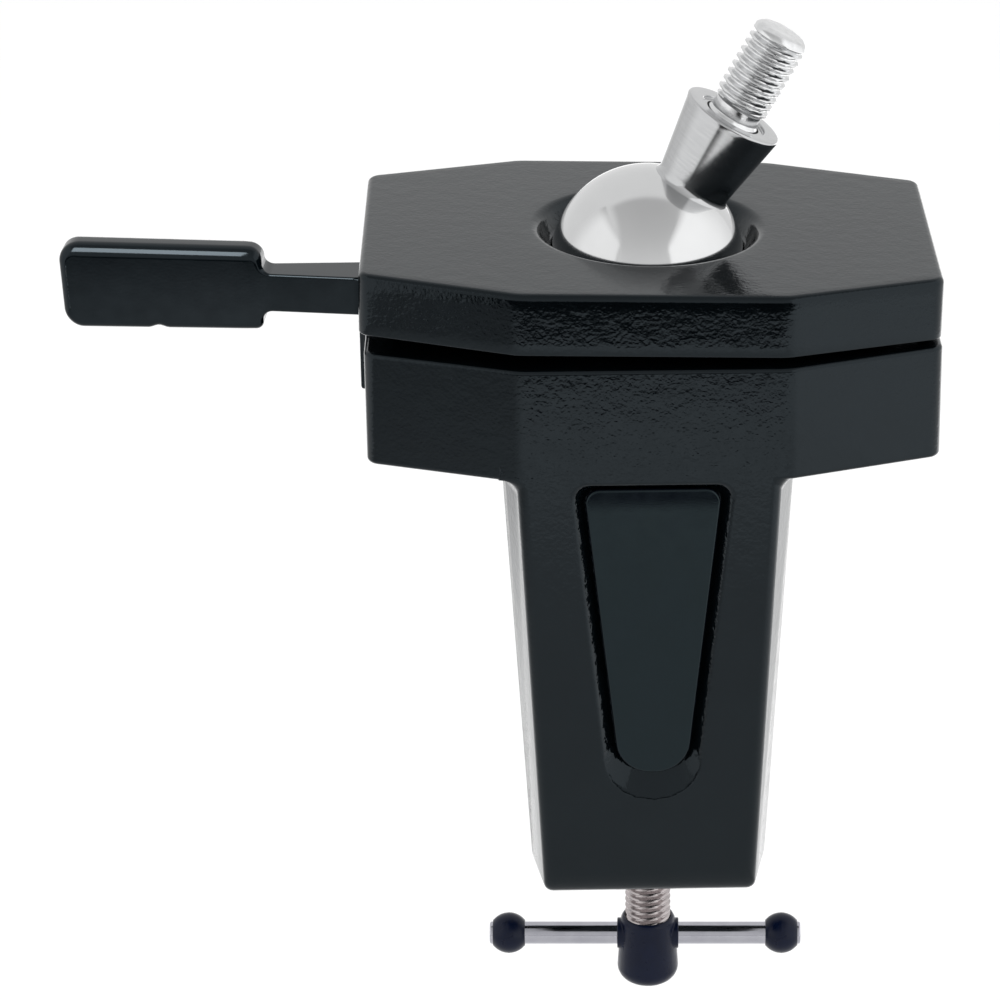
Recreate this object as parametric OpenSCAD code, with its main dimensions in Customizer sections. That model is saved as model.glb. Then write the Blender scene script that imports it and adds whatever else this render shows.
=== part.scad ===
// Ball joint work holder for a bench edge.
// A C-shaped casting grips the table top between its jaw and a screw spindle. Its octagonal head holds a
// steel ball between a lower seat and an upper clamping plate, and a side lever pulls the plate down.
// The origin is on the jaw face, on the ball's vertical axis. Z is up, the casting's front is at -Y.

/* [Octagonal head] */
// Width of the head, side to side
head_w = 116.8; // [108:0.2:126]
// Depth of the head, front to back
head_d = 81.6; // [78:0.2:92]
// Length of the straight front and back edges
front_edge = 53.6; // [50:0.2:58]
// Length of the straight side edges
side_edge = 59.8; // [54:0.2:64]
// Height of the lower half of the head
base_h = 24.2; // [23:0.1:28]
// How much narrower the lower half is than the plate on each side
base_trim = 0.3; // [0:0.1:1]
// Sideways offset of the lower half from the ball's axis
base_shift = 0.5; // [0:0.1:1]
// Rounding of the vertical corners
corner_r = 3; // [2.75:0.25:4]
// Rounding of the head's flat corners, at the front and the back, seen from above
front_corner_r = 10; // [4:0.5:12]
// Rounding of the lower half's lower edges
under_r = 1; // [1:0.1:2.6]
// Rounding of the lower half's upper edges
base_edge_r = 0.9; // [0.6:0.1:2]

/* [Clamping plate] */
// Thickness of the plate
plate_t = 12.9; // [12.5:0.1:16]
// Height of the gap between plate and lower half, on the ball's axis
gap_h = 2.7; // [2.6:0.1:4]
// Tilt of the plate at rest, lever side up
plate_tilt = 1.2; // [0.6:0.1:1.3]
// Rounding of the plate's upper edges
edge_r = 1.3; // [1:0.1:2.6]
// Radius of the dish's rim round the ball
dish_r = 23.4; // [23:0.1:26]
// Rounding of the dish's rim
dish_rim_r = 2.5; // [1:0.1:4.5]
// Height of the seat's lip above the ball's centre
lip_rise = 3.3; // [2.8:0.1:4.4]

/* [Ball and stud] */
// Radius of the ball
ball_r = 20; // [19:0.25:20.5]
// Depth of the ball's centre below the plate's top
ball_drop = 7.6; // [7:0.1:8.5]
// Lean of the stud at rest, from the vertical
stud_lean = 29.6; // [0:0.2:45]
// Distance of the flat on the ball from its centre
ball_flat = 18.9; // [18:0.1:19.2]
// Radius of the neck at the ball
neck_r1 = 7.7; // [7.2:0.1:8.2]
// Radius of the neck at its top
neck_r2 = 10.6; // [9:0.1:11.5]
// Length of the neck
neck_len = 17; // [14:0.5:20]
// Radius of the stud's thread
stud_r = 6; // [5:0.5:6]
// Radius of the plain relief below the thread
relief_r = 5.1; // [4:0.1:5.1]
// Length of the plain relief
relief_len = 2.6; // [1.5:0.1:4]
// Length of the thread above the relief
thread_len = 17.6; // [12:0.2:25]
// Depth of the stud in the ball
stud_depth = 13; // [8:0.5:16]

/* [Ball seat] */
// Outer radius of the seat ring
seat_r = 17; // [16:0.25:17.5]
// Radius of the seat ring's opening
seat_bore_r = 11; // [9:0.5:13]
// Distance of the pocket's floor, that the ring lies on, below the ball's centre
seat_drop = 20.2; // [20:0.1:20.7]
// Height of the seat ring
seat_h = 8.6; // [7:0.1:8.8]

/* [Locking lever] */
// Distance of the lever's axis from the ball's axis
lever_x = 50; // [49:0.25:51.5]
// Radius of the lever's hub
hub_r = 9.7; // [9.4:0.1:10.5]
// Height of the hub's lower face
hub_z0 = 5; // [4.8:0.1:6]
// Height of the hub's upper face
hub_z1 = 30.2; // [30.1:0.1:31]
// Angle of the lever at rest, tip towards the back
lever_angle = 4; // [0:0.5:10]
// Swing of the lever from straight out, each way
lever_swing = 44; // [30:1:50]
// Height of the neck's lower face
arm_z = 22.3; // [21.5:0.1:22.6]
// Height of the neck's section
arm_h = 7.7; // [6:0.1:7.7]
// Depth of the neck at the hub
arm_root_d = 11.2; // [8:0.2:12]
// Depth of the neck at the paddle
arm_end_d = 6; // [5:0.25:7]
// Distance of the paddle's inner end from the ball's axis
paddle_x0 = 79.2; // [74:0.2:88]
// Length of the paddle
paddle_len = 42; // [30:0.5:60]
// Height of the paddle
paddle_h = 17.7; // [12:0.1:24]
// Thickness of the paddle
paddle_d = 7.4; // [5:0.1:10]
// Height of the paddle's lower edge
paddle_z = 18.2; // [17:0.1:20]
// Rounding of the paddle's outer corners
paddle_r = 4; // [2:0.1:5]
// Rounding of the paddle's inner corners
paddle_in_r = 1.6; // [1:0.1:3]
// Rounding of the paddle's upper corner over the neck
paddle_top_r = 3; // [1:0.1:3.5]
// Width of the flat lug on the hub, under the neck
lug_w = 4.8; // [3:0.2:6]
// Distance from the lever's axis to where the lug starts
lug_x = 7.9; // [7.9:0.1:8.5]
// How much higher the paddle's upper edge is at its outer end
paddle_lift = 0.6; // [0:0.1:1.2]
// How far the outer end's foot is drawn in
paddle_slant = 0.8; // [0:0.1:2]
// Rounding in the corners between paddle and neck
paddle_fillet = 2; // [1:0.1:3]

/* [Fasteners] */
// Radius of the clamp bolt and the pivot screws
bolt_r = 3; // [2.5:0.25:3]
// Radius of their heads
head_r = 5; // [4.5:0.1:5.2]
// Height of their heads
head_h = 4; // [3:0.1:4.2]
// How far the heads lie inside the jaw face
head_sink = 0.9; // [0.4:0.1:1]
// Width across flats of the heads' sockets
socket_af = 4; // [3:0.5:5]
// Depth of the sockets
socket_depth = 2.2; // [1.5:0.1:2.8]
// Thickness of the thrust washer under the clamp bolt's head
thrust_t = 1.6; // [1:0.1:2]
// Outer radius of the thrust washer
thrust_r = 5.6; // [5.2:0.1:5.7]
// Radius of the boss that the lever's hub turns on
boss_r = 7.4; // [7:0.1:7.6]
// Height of the boss
boss_z = 10.5; // [9.6:0.1:12]
// Depth of the bolt's thread in the plate
bolt_grip = 7.4; // [6:0.1:7.6]
// Radius of the cross pin through hub and bolt
pin_r = 1.25; // [1:0.05:1.5]
// Height of the cross pin
pin_z = 15; // [14:0.25:16]
// Distance of the pivot screws from the ball's axis
pivot_x = 49; // [47:0.25:50]
// Distance of the pivot screws from the middle plane
pivot_y = 17; // [14:0.5:20]
// Outer radius of the pivot washers
pivot_washer_r = 5.8; // [5:0.1:6.2]
// Depth of the pivot screws in the plate
pivot_grip = 8; // [6:0.1:8]

/* [Return spring] */
// Radius of the spring's wire
spring_wire_r = 0.5; // [0.3:0.05:0.55]
// Mean radius of the coil
spring_r = 4.4; // [4.2:0.05:4.5]
// Number of turns
spring_turns = 4; // [3:1:4]
// Radius of the spring's pocket in the hub
spring_pocket_r = 5.4; // [5.3:0.05:6]
// Depth of the spring's pocket
spring_pocket_h = 8; // [7:0.1:9]

/* [Spine and arm] */
// Width of the spine's front face at its foot
spine_foot_w = 44.6; // [38:0.2:48]
// Depth of the spine, front to back
spine_d = 22.4; // [19:0.2:24]
// Draft of the spine's sides
spine_draft = 14; // [8:0.5:16]
// Depth of the spine's slanted flanks, behind which its sides run straight back
flank_d = 12; // [10:0.5:14]
// Sideways offset of the spine, away from the lever if positive
spine_shift = -0.7; // [-1:0.1:1]
// Height of the rounding along the spine's foot
foot_roll = 6; // [2:0.1:7]
// Rounding of the spine's front edges
spine_edge_r = 2.4; // [0.8:0.1:2.5]
// Rounding of the spine's lower corners
foot_r = 2; // [1.5:0.1:4]
// Rounding of the spine's lower corners behind its flanks
foot_side_r = 4; // [2:0.1:5]
// Slant of the flanks at the foot, seen from below (degrees)
foot_draft = 11; // [6:0.5:14]
// Distance from the jaw face down to the arm
throat = 75.5; // [70:0.5:90]
// Height of the arm
arm_t = 18.8; // [15:0.2:22]
// Rounding of the arm's corners
arm_r = 4; // [3:0.25:5]
// Depth of the panel that is cast into the spine's back
panel_depth = 2; // [1:0.1:3]
// Margin round that panel
panel_margin = 7; // [5:0.25:9]
// Fillet between spine and head
spine_fillet = 4; // [2:0.25:5]
// Radius of the boss that holds the spindle
spindle_boss_r = 13; // [11:0.25:16]

/* [Nameplate] */
// Width of the recess at its top
recess_w = 32.4; // [28:0.2:36]
// Width of the recess at its foot
recess_foot_w = 20.6; // [16:0.2:24]
// Length of the recess
recess_len = 70.8; // [50:0.2:72]
// Distance of the recess's top from the jaw face
recess_top = 0.7; // [0.5:0.1:6]
// Depth of the recess
recess_depth = 2.4; // [1.5:0.1:3]
// Margin of the recess's floor inside its rim, at the sides
recess_slope = 2.2; // [0.5:0.1:2.4]
// Width of the recess's upper wall, seen from the front
recess_top_slope = 1; // [0.5:0.1:2]
// Length of the ramp at the recess's foot
ramp_len = 5.25; // [3:0.25:6]
// Gap between the plate and the recess's floor edge
label_margin = 0.4; // [0.2:0.1:3]
// Gap between the plate and the recess's upper wall
label_top = 0.2; // [0.1:0.1:2]
// Thickness of the nameplate
label_t = 1.9; // [0.8:0.1:2.2]
// Rounding of recess and plate at the top corners
recess_r = 3; // [1:0.25:5]

/* [Spindle] */
// Radius of the spindle's thread
spindle_r = 5; // [4.5:0.25:5]
// Height of the pressure pad's face at rest
pad_z = -37.5; // [-60:0.5:-15]
// Radius of the pressure pad
pad_r = 11; // [9:0.25:13]
// Height of the pressure pad
pad_h = 9; // [8.6:0.1:12]
// Radius of the spindle's thrust point
point_r = 3.8; // [3.5:0.1:4]
// Depth of the thrust point in the pad
point_depth = 6.5; // [6:0.1:7]
// Radius of the groove round the thrust point
groove_r = 3; // [2.5:0.1:3.1]
// Radius of the snap ring's wire
ring_wire_r = 0.5; // [0.4:0.05:0.6]

/* [Handle] */
// Turn of the handle at rest
handle_angle = -1.8; // [-45:0.1:45]
// Height of the tommy bar's axis at rest
bar_z = -127.3; // [-135:0.1:-122]
// Radius of the tommy bar
bar_r = 2.5; // [2:0.1:2.6]
// Length of the tommy bar
bar_len = 69; // [55:0.5:90]
// Sideways offset of the tommy bar at rest
bar_offset = -0.6; // [-4:0.1:4]
// Radius of the caps on the bar's ends
cap_r = 4.5; // [3.6:0.1:6]
// Length of the caps
cap_len = 7.1; // [5:0.1:7.1]
// How far the bar's ends stand out of the caps
bar_stub = 0.7; // [0.2:0.1:1]
// Radius of the handle's hub at its top
grip_r1 = 6; // [5.9:0.05:6.4]
// Radius of the handle's hub at its foot
grip_r2 = 6.75; // [6.5:0.05:8]
// Distance of the hub's top above the bar's axis
grip_rise = 4.8; // [4.4:0.1:6]
// Distance of the hub's foot below the bar's axis
grip_drop = 11.2; // [9:0.1:14]
// Rounding of the hub's foot
grip_foot_r = 3.4; // [2:0.1:4]
// Radius of the collars where the bar enters the hub
collar_r = 3.4; // [3.2:0.05:3.8]
// How far the collars stand out from the ball's axis
collar_x = 6.8; // [6.7:0.05:7.5]

/* [Fits] */
// Radial clearance of running fits
run_clear = 0.08; // [0.05:0.01:0.1]
// Clearance between the ball and its seats
ball_clear = 0.3; // [0.25:0.05:0.4]
// Clearance round the lever's hub and neck
lever_clear = 0.4; // [0.35:0.05:0.5]
// Radial clearance of screws in clearance holes and in the plate
screw_clear = 0.25; // [0.2:0.05:0.35]

/* [Hidden] */
$fn = 64;
EPS = 0.01;
LOFT_FN = 32;

// Heights of the head's faces on the ball's axis
head_h_all = base_h + gap_h + plate_t;
ball_z = head_h_all - ball_drop;
seat_z = ball_z - seat_drop;
tilt_slope = tan(plate_tilt);
function plate_under(x) = base_h + gap_h - x * tilt_slope;
function plate_top(x) = head_h_all - x * tilt_slope;

// Faces of the spine and the arm
front_y = -head_d / 2;
back_y = front_y + spine_d;
foot_z = -throat - arm_t;
draft_grow = flank_d * tan(spine_draft);
foot_grow = flank_d * tan(foot_draft);
taper = (front_edge - spine_foot_w) / 2 / -foot_z;

// Stations along the stud's axis, from the ball's centre
neck_top = ball_flat + neck_len;
thread_start = neck_top + relief_len;
stud_tip = thread_start + thread_len;
tip_chamfer = 1.4;
neck_step_r = stud_r + 1.2;
neck_step_h = 0.6;

// Heights inside the lever's pocket
pocket_floor = hub_z0 - lever_clear;
bolt_head_z = head_sink + head_h;
hub_recess_z = hub_z1 + 2 * lever_clear;
bolt_top = hub_recess_z + bolt_grip;
spring_z0 = hub_z1 - spring_pocket_h + spring_wire_r;
spring_z1 = hub_recess_z - spring_wire_r - lever_clear / 2;

// Heights of the spindle's parts
grip_top = bar_z + grip_rise;
grip_foot = bar_z - grip_drop;
spindle_foot = bar_z - grip_drop / 2;
point_z = pad_z - pad_h + point_depth;
ring_z = pad_z - pad_h + point_depth / 3;
pad_bore_r = point_r + run_clear;

// Colours of the finishes
BLACK_PAINT = [0.05, 0.055, 0.06];
BLACK_PLASTIC = [0.09, 0.1, 0.14];
POLISHED = [0.82, 0.83, 0.85];
STEEL = [0.66, 0.67, 0.69];
BRONZE = [0.66, 0.5, 0.28];

// Outline of the head

function octagon(w, d, fe, se) = [
    [-fe / 2, -d / 2], [fe / 2, -d / 2], [w / 2, -se / 2], [w / 2, se / 2],
    [fe / 2, d / 2], [-fe / 2, d / 2], [-w / 2, se / 2], [-w / 2, -se / 2]];

// Centre of the rounding at corner i, and the direction that edge i faces
function edge_normal(pts, i) =
    let (n = len(pts), a = pts[i % n], b = pts[(i + 1) % n], d = (b - a) / norm(b - a)) [d[1], -d[0]];
function corner_radius(i) = i % 4 < 2 ? front_corner_r : corner_r;
function corner_centre(pts, i) =
    let (n1 = edge_normal(pts, i + 7), n2 = edge_normal(pts, i))
        pts[i] - corner_radius(i) * (n1 + n2) / (1 + n1 * n2);

// Outline with a rounding of its own at each corner
function rounded(pts, radii, steps) = [
    for (i = [0 : len(pts) - 1])
        let (n1 = edge_normal(pts, i + len(pts) - 1), n2 = edge_normal(pts, i), r = radii[i],
            c = pts[i] - r * (n1 + n2) / (1 + n1 * n2), a1 = atan2(n1[1], n1[0]), turn = acos(n1 * n2))
            for (k = [0 : steps])
                let (a = a1 + turn * k / steps)
                    c + r * [cos(a), sin(a)]];

// One ring of the block: eight rounded corners, drawn in by inset
CORNER_STEPS = 5;
RING = 8 * (CORNER_STEPS + 1);
function block_ring(pts, z, inset) = [
    for (i = [0 : 7])
        let (c = corner_centre(pts, i), n1 = edge_normal(pts, i + 7), n2 = edge_normal(pts, i),
            r = corner_radius(i) - inset, a1 = atan2(n1[1], n1[0]), turn = acos(n1 * n2))
            for (k = [0 : CORNER_STEPS])
                let (a = a1 + turn * k / CORNER_STEPS)
                    [c[0] + r * cos(a), c[1] + r * sin(a), z]];

// Solid through a stack of rings that each run anticlockwise, seen from the last ring's side
module loft(rings) {
    n = len(rings[0]);
    last = (len(rings) - 1) * n;
    faces = concat(
        [[for (k = [0 : n - 1]) k]],
        [for (i = [0 : len(rings) - 2], k = [0 : n - 1])
            let (a = i * n + k, b = i * n + (k + 1) % n)
                each [[a, a + n, b], [b, a + n, b + n]]],
        [[for (k = [0 : n - 1]) last + n - 1 - k]]);
    polyhedron(points = [for (ring = rings) each ring], faces = faces, convexity = 4);
}

// Octagonal block with rounded corners and rounded upper and lower edges
module head_block(w, h, top_r, bottom_r) {
    pts = octagon(w, head_d, front_edge, side_edge);
    steps = [for (a = [90 : -18 : 0]) [bottom_r * (1 - sin(a)), bottom_r * (1 - cos(a))],
        for (a = [0 : 18 : 90]) [h - top_r * (1 - sin(a)), top_r * (1 - cos(a))]];
    loft([for (step = steps) block_ring(pts, step[0], step[1])]);
}

// Upright outline that narrows towards its foot, with round corners: half widths and heights
function taper_outline(top_w, top_z, top_r, foot_w, foot_z, foot_r) =
    let (t = atan((top_w - foot_w) / (top_z - foot_z)), n = CORNER_STEPS)
        [for (c = [
            [-foot_w + foot_r, foot_z + foot_r, foot_r, 180 + t, 270],
            [foot_w - foot_r, foot_z + foot_r, foot_r, 270, 360 - t],
            [top_w - top_r, top_z - top_r, top_r, -t, 90],
            [-top_w + top_r, top_z - top_r, top_r, 90, 180 + t]])
            for (k = [0 : n])
                let (a = c[3] + (c[4] - c[3]) * k / n)
                    [c[0] + c[2] * cos(a), c[1] + c[2] * sin(a)]];
function at_depth(outline, y) = [for (q = outline) [q[0], y, q[1]]];

// The plate's own frame: tilted about the ball's centre, with its origin there
module in_plate_frame() {
    translate([0, 0, ball_z])
        rotate([0, plate_tilt, 0])
            children();
}

// The stud's own frame: Z along its axis, with its origin in the ball's centre
module in_stud_frame() {
    translate([0, 0, ball_z])
        rotate([0, stud_lean, 0])
            children();
}

// The lever's own frame: its axis at the origin, its arm along -X
module in_lever_frame(angle) {
    translate([-lever_x, 0, 0])
        rotate([0, 0, angle])
            children();
}

// The handle's own frame: the tommy bar's axis along X
module in_handle_frame() {
    translate([0, 0, bar_z])
        rotate([0, 0, handle_angle])
            children();
}

module at_pivots() {
    for (s = [-1, 1])
        translate([pivot_x, s * pivot_y, 0])
            children();
}

module along_x(r, length) {
    rotate([0, 90, 0])
        cylinder(r = r, h = length, center = true);
}

// Space that the lever's neck sweeps between its two limits
module neck_sweep(z, h) {
    reach = hub_r * 3;
    w = arm_root_d + 2 * lever_clear;
    in_lever_frame(0)
        translate([0, 0, z])
            linear_extrude(h)
                union() {
                    for (s = [-1, 1])
                        rotate(s * lever_swing)
                            translate([-reach, -w / 2])
                                square([reach, w]);
                    polygon([[0, 0], for (s = [-1, 1])
                        reach * [-cos(lever_swing), s * sin(lever_swing)]]);
                }
}

// Nut-shaped socket in a screw's head, open downwards
module hex_socket(z) {
    translate([0, 0, z - EPS])
        cylinder(r = socket_af / sqrt(3), h = socket_depth + EPS, $fn = 6);
}

// Socket-head screw that stands upright, with its head below z
module cap_screw(z, top) {
    difference() {
        union() {
            translate([0, 0, z - head_h])
                cylinder(r = head_r, h = head_h);
            translate([0, 0, z])
                cylinder(r = bolt_r, h = top - z);
        }
        hex_socket(z - head_h);
    }
}

// Casting

// Section of the spine: its top and foot wider by grow and low_grow on each side, drawn in by inset, with the
// foot raised by lift and its corners rounded by r
function spine_outline(grow, low_grow, inset, lift, r) =
    taper_outline(front_edge / 2 + grow - inset, under_r, under_r / 2,
        spine_foot_w / 2 + low_grow - inset, foot_z + lift, r);

module spine() {
    loft([
        for (y = [back_y, front_y + flank_d])
            at_depth(spine_outline(draft_grow, foot_grow, 0, 0, foot_side_r), y),
        for (a = [0 : 15 : 90])
            at_depth(spine_outline(0, 0, spine_edge_r * (1 - cos(a)), foot_roll * (1 - cos(a)), foot_r),
                front_y + spine_edge_r * (1 - sin(a)))]);
}

// Shallow panel in the spine's back
module back_panel() {
    top_z = -spine_fillet - panel_margin / 2;
    low_z = panel_margin - throat;
    function half_w(z, grow) = front_edge / 2 + taper * z + grow - panel_margin;
    function section(grow) =
        taper_outline(half_w(top_z, grow), top_z, arm_r, half_w(low_z, grow), low_z, arm_r);
    loft([
        at_depth(section(draft_grow), back_y + 1),
        at_depth(section(draft_grow - panel_depth), back_y - panel_depth)]);
}

module spindle_arm() {
    slab_w = spine_foot_w - 4 * arm_r;
    hull() {
        translate([0, 0, foot_z])
            cylinder(r = spindle_boss_r, h = arm_t, $fn = LOFT_FN);
        for (s = [-1, 1])
            translate([s * slab_w / 2, back_y - arm_r, foot_z])
                cylinder(r = arm_r, h = arm_t, $fn = LOFT_FN);
    }
}

// Outline of the recess: tapered, with a round foot and rounded upper corners
function recess_outline(inset, top_inset, foot_inset) =
    taper_outline(recess_w / 2 - inset, -recess_top - top_inset, recess_r,
        recess_foot_w / 2 - inset, -recess_top - recess_len + foot_inset, recess_foot_w / 2 - inset - 0.5);

module label_recess() {
    loft([
        at_depth(recess_outline(recess_slope, recess_top_slope, ramp_len), front_y + recess_depth),
        at_depth(recess_outline(0, 0, 0), front_y),
        at_depth(recess_outline(0, 0, 0), front_y - 1)]);
}

module clamp_frame() {
    color(BLACK_PAINT)
        difference() {
            union() {
                translate([base_shift, 0, 0])
                    head_block(head_w - 2 * base_trim, base_h, base_edge_r, under_r);
                translate([spine_shift, 0, 0]) {
                    difference() {
                        spine();
                        back_panel();
                    }
                }
                spindle_arm();
            }
            // Ball seat and the room round the ball
            translate([0, 0, seat_z])
                cylinder(r = seat_r + run_clear, h = base_h);
            translate([0, 0, seat_z + seat_h])
                cylinder(r = ball_r + 5 * ball_clear, h = base_h);
            translate([0, 0, seat_z - 3])
                cylinder(r = seat_bore_r, h = base_h);
            // Lever's pocket with the boss that its hub turns on
            in_lever_frame(0) {
                difference() {
                    translate([0, 0, pocket_floor])
                        cylinder(r = hub_r + lever_clear, h = base_h);
                    cylinder(r = boss_r, h = boss_z);
                }
                translate([0, 0, -EPS])
                    cylinder(r = bolt_r + screw_clear, h = base_h);
                translate([0, 0, -EPS])
                    cylinder(r = thrust_r + run_clear, h = bolt_head_z + thrust_t + EPS);
            }
            neck_sweep(arm_z - lever_clear, base_h);
            // Pivot screws
            at_pivots() {
                translate([0, 0, -EPS])
                    cylinder(r = bolt_r + screw_clear, h = base_h + 2 * EPS);
                translate([0, 0, -EPS])
                    cylinder(r = head_r + screw_clear, h = bolt_head_z + EPS);
            }
            label_recess();
            translate([0, 0, foot_z - EPS])
                cylinder(r = spindle_r + run_clear, h = arm_t + 2 * EPS);
        }
}

// Head

// Opening for the ball: dish with a rounded rim, lip, spherical seat and entry bore
module ball_opening() {
    r = ball_r + ball_clear;
    lip_r = sqrt(r * r - lip_rise * lip_rise);
    rim_c = [dish_r + dish_rim_r * tan(22.5), ball_drop - dish_rim_r];
    sphere(r = r);
    translate([0, 0, -ball_r])
        cylinder(r = r, h = ball_r);
    rotate_extrude()
        polygon([
            [0, lip_rise], [lip_r, lip_rise],
            for (a = [135 : -9 : 90]) rim_c + dish_rim_r * [cos(a), sin(a)],
            [rim_c[0], ball_drop + 1], [0, ball_drop + 1]]);
}

module upper_plate() {
    color(BLACK_PAINT)
        difference() {
            in_plate_frame()
                difference() {
                    translate([0, 0, ball_drop - plate_t])
                        head_block(head_w, plate_t, edge_r, edge_r / 3);
                    ball_opening();
                }
            // Room for the lever's hub and neck
            in_lever_frame(0)
                cylinder(r = hub_r + lever_clear, h = hub_recess_z);
            neck_sweep(base_h, arm_z + arm_h + lever_clear - base_h);
            // Threaded holes for the clamp bolt and the pivot screws
            in_lever_frame(0)
                cylinder(r = bolt_r + screw_clear, h = bolt_top + screw_clear);
            at_pivots()
                cylinder(r = bolt_r + screw_clear, h = plate_under(pivot_x) + pivot_grip + screw_clear);
        }
}

module ball() {
    color(POLISHED)
        in_stud_frame()
            difference() {
                sphere(r = ball_r, $fn = 128);
                translate([0, 0, ball_flat])
                    cylinder(r = ball_r, h = ball_r);
                translate([0, 0, ball_flat - stud_depth])
                    cylinder(r = stud_r, h = ball_r);
            }
}

module neck_cone() {
    chamfer = 0.5;
    wall = (neck_r2 - neck_r1) / neck_len;
    color(STEEL)
        in_stud_frame()
            rotate_extrude()
                polygon([
                    [stud_r, ball_flat],
                    [neck_r1 - chamfer, ball_flat],
                    [neck_r1 + wall * chamfer, ball_flat + chamfer],
                    [neck_r2 - wall * chamfer, neck_top - chamfer],
                    [neck_r2 - chamfer, neck_top],
                    [neck_step_r, neck_top],
                    [neck_step_r, neck_top - neck_step_h],
                    [stud_r, neck_top - neck_step_h]]);
}

module threaded_stud() {
    color(POLISHED)
        in_stud_frame()
            rotate_extrude()
                polygon([
                    [0, ball_flat - stud_depth],
                    [stud_r, ball_flat - stud_depth],
                    [stud_r, neck_top - neck_step_h],
                    [relief_r, neck_top - neck_step_h],
                    [relief_r, thread_start],
                    [stud_r, thread_start + stud_r - relief_r],
                    [stud_r, stud_tip - tip_chamfer],
                    [stud_r - tip_chamfer, stud_tip - tip_chamfer / 4],
                    [0, stud_tip]]);
}

module ball_seat() {
    color(BRONZE)
        difference() {
            translate([0, 0, seat_z])
                cylinder(r = seat_r, h = seat_h);
            translate([0, 0, ball_z])
                sphere(r = ball_r + ball_clear);
            translate([0, 0, seat_z - EPS])
                cylinder(r = seat_bore_r, h = seat_h + 2 * EPS);
        }
}

// Lever and its bolt

// Lever seen from the front: neck and paddle with round corners and fillets between them
module lever_profile() {
    x0 = paddle_x0 - lever_x;
    neck_top_z = arm_z + arm_h;
    module corner(x, y, sx, sy, r) {
        translate([x, y])
            scale([sx, sy])
                difference() {
                    square(r);
                    translate([r, r])
                        circle(r = r);
                }
    }
    translate([-x0 - paddle_fillet, arm_z])
        square([x0 + paddle_fillet, arm_h]);
    polygon(rounded(
        [[-x0 - paddle_len + paddle_slant, paddle_z], [-x0, paddle_z],
            [-x0, paddle_z + paddle_h], [-x0 - paddle_len, paddle_z + paddle_h + paddle_lift]],
        [paddle_r, paddle_in_r, paddle_top_r, paddle_r], 8));
    translate([-x0, neck_top_z])
        mirror([0, 0])
            corner(0, 0, 1, 1, paddle_fillet);
    translate([-x0, arm_z])
        mirror([0, 1])
            corner(0, 0, 1, 1, paddle_fillet);
}

// Lever seen from above: tapered neck and straight paddle
module lever_plan() {
    x0 = paddle_x0 - lever_x;
    polygon([
        [0, -arm_root_d / 2], [0, arm_root_d / 2],
        [-x0 + paddle_fillet, arm_end_d / 2], [-x0, paddle_d / 2],
        [-x0 - paddle_len, paddle_d / 2], [-x0 - paddle_len, -paddle_d / 2],
        [-x0, -paddle_d / 2], [-x0 + paddle_fillet, -arm_end_d / 2]]);
}

module locking_lever() {
    color(BLACK_PAINT)
        in_lever_frame(-lever_angle)
            difference() {
                union() {
                    difference() {
                        translate([0, 0, hub_z0])
                            cylinder(r = hub_r, h = hub_z1 - hub_z0);
                        for (s = [0, 1])
                            mirror([0, s, 0])
                                translate([-2 * hub_r - lug_x, lug_w / 2, hub_z0 - EPS])
                                    cube([2 * hub_r, hub_r, arm_z - hub_z0 + EPS]);
                    }
                    intersection() {
                        translate([0, arm_root_d, 0])
                            rotate([90, 0, 0])
                                linear_extrude(2 * arm_root_d)
                                    lever_profile();
                        linear_extrude(paddle_z + 2 * paddle_h)
                            lever_plan();
                    }
                }
                cylinder(r = bolt_r, h = hub_z1 + EPS);
                cylinder(r = boss_r + run_clear, h = boss_z + lever_clear);
                translate([0, 0, hub_z1 - spring_pocket_h])
                    cylinder(r = spring_pocket_r, h = spring_pocket_h + EPS);
                translate([0, 0, pin_z])
                    rotate([0, 0, 90])
                        along_x(pin_r, 3 * hub_r);
            }
}

module clamp_bolt() {
    color(STEEL)
        in_lever_frame(-lever_angle)
            difference() {
                cap_screw(bolt_head_z, bolt_top);
                translate([0, 0, pin_z])
                    rotate([0, 0, 90])
                        along_x(pin_r, 3 * hub_r);
            }
}

module thrust_washer() {
    color(STEEL)
        in_lever_frame(0)
            translate([0, 0, bolt_head_z])
                difference() {
                    cylinder(r = thrust_r, h = thrust_t);
                    translate([0, 0, -EPS])
                        cylinder(r = bolt_r + run_clear, h = thrust_t + 2 * EPS);
                }
}

module lever_pin() {
    color(STEEL)
        in_lever_frame(-lever_angle)
            translate([0, 0, pin_z])
                rotate([0, 0, 90])
                    along_x(pin_r, 2 * sqrt(hub_r * hub_r - pin_r * pin_r) - 2 * run_clear);
}

// Coil swept as one tube: rings of points along a helix, closed at both ends
COIL_RINGS = 8;
COIL_SIDES = 6;
coil_count = spring_turns * COIL_RINGS;
coil_rise = (spring_z1 - spring_z0) / coil_count;
coil_turn = 360 / COIL_RINGS;
coil_points = [
    for (i = [0 : coil_count], j = [0 : COIL_SIDES - 1])
        let (a = i * coil_turn, b = j * 360 / COIL_SIDES, r = spring_r + spring_wire_r * cos(b))
            [r * cos(a), r * sin(a), spring_z0 + i * coil_rise + spring_wire_r * sin(b)]];
coil_faces = concat(
    [for (k = [1 : COIL_SIDES - 2]) [0, k, k + 1]],
    [for (i = [0 : coil_count - 1], j = [0 : COIL_SIDES - 1])
        let (a = i * COIL_SIDES + j, b = i * COIL_SIDES + (j + 1) % COIL_SIDES)
            each [[a, a + COIL_SIDES, b], [b, a + COIL_SIDES, b + COIL_SIDES]]],
    [for (k = [1 : COIL_SIDES - 2])
        let (s = coil_count * COIL_SIDES) [s, s + k + 1, s + k]]);
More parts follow.
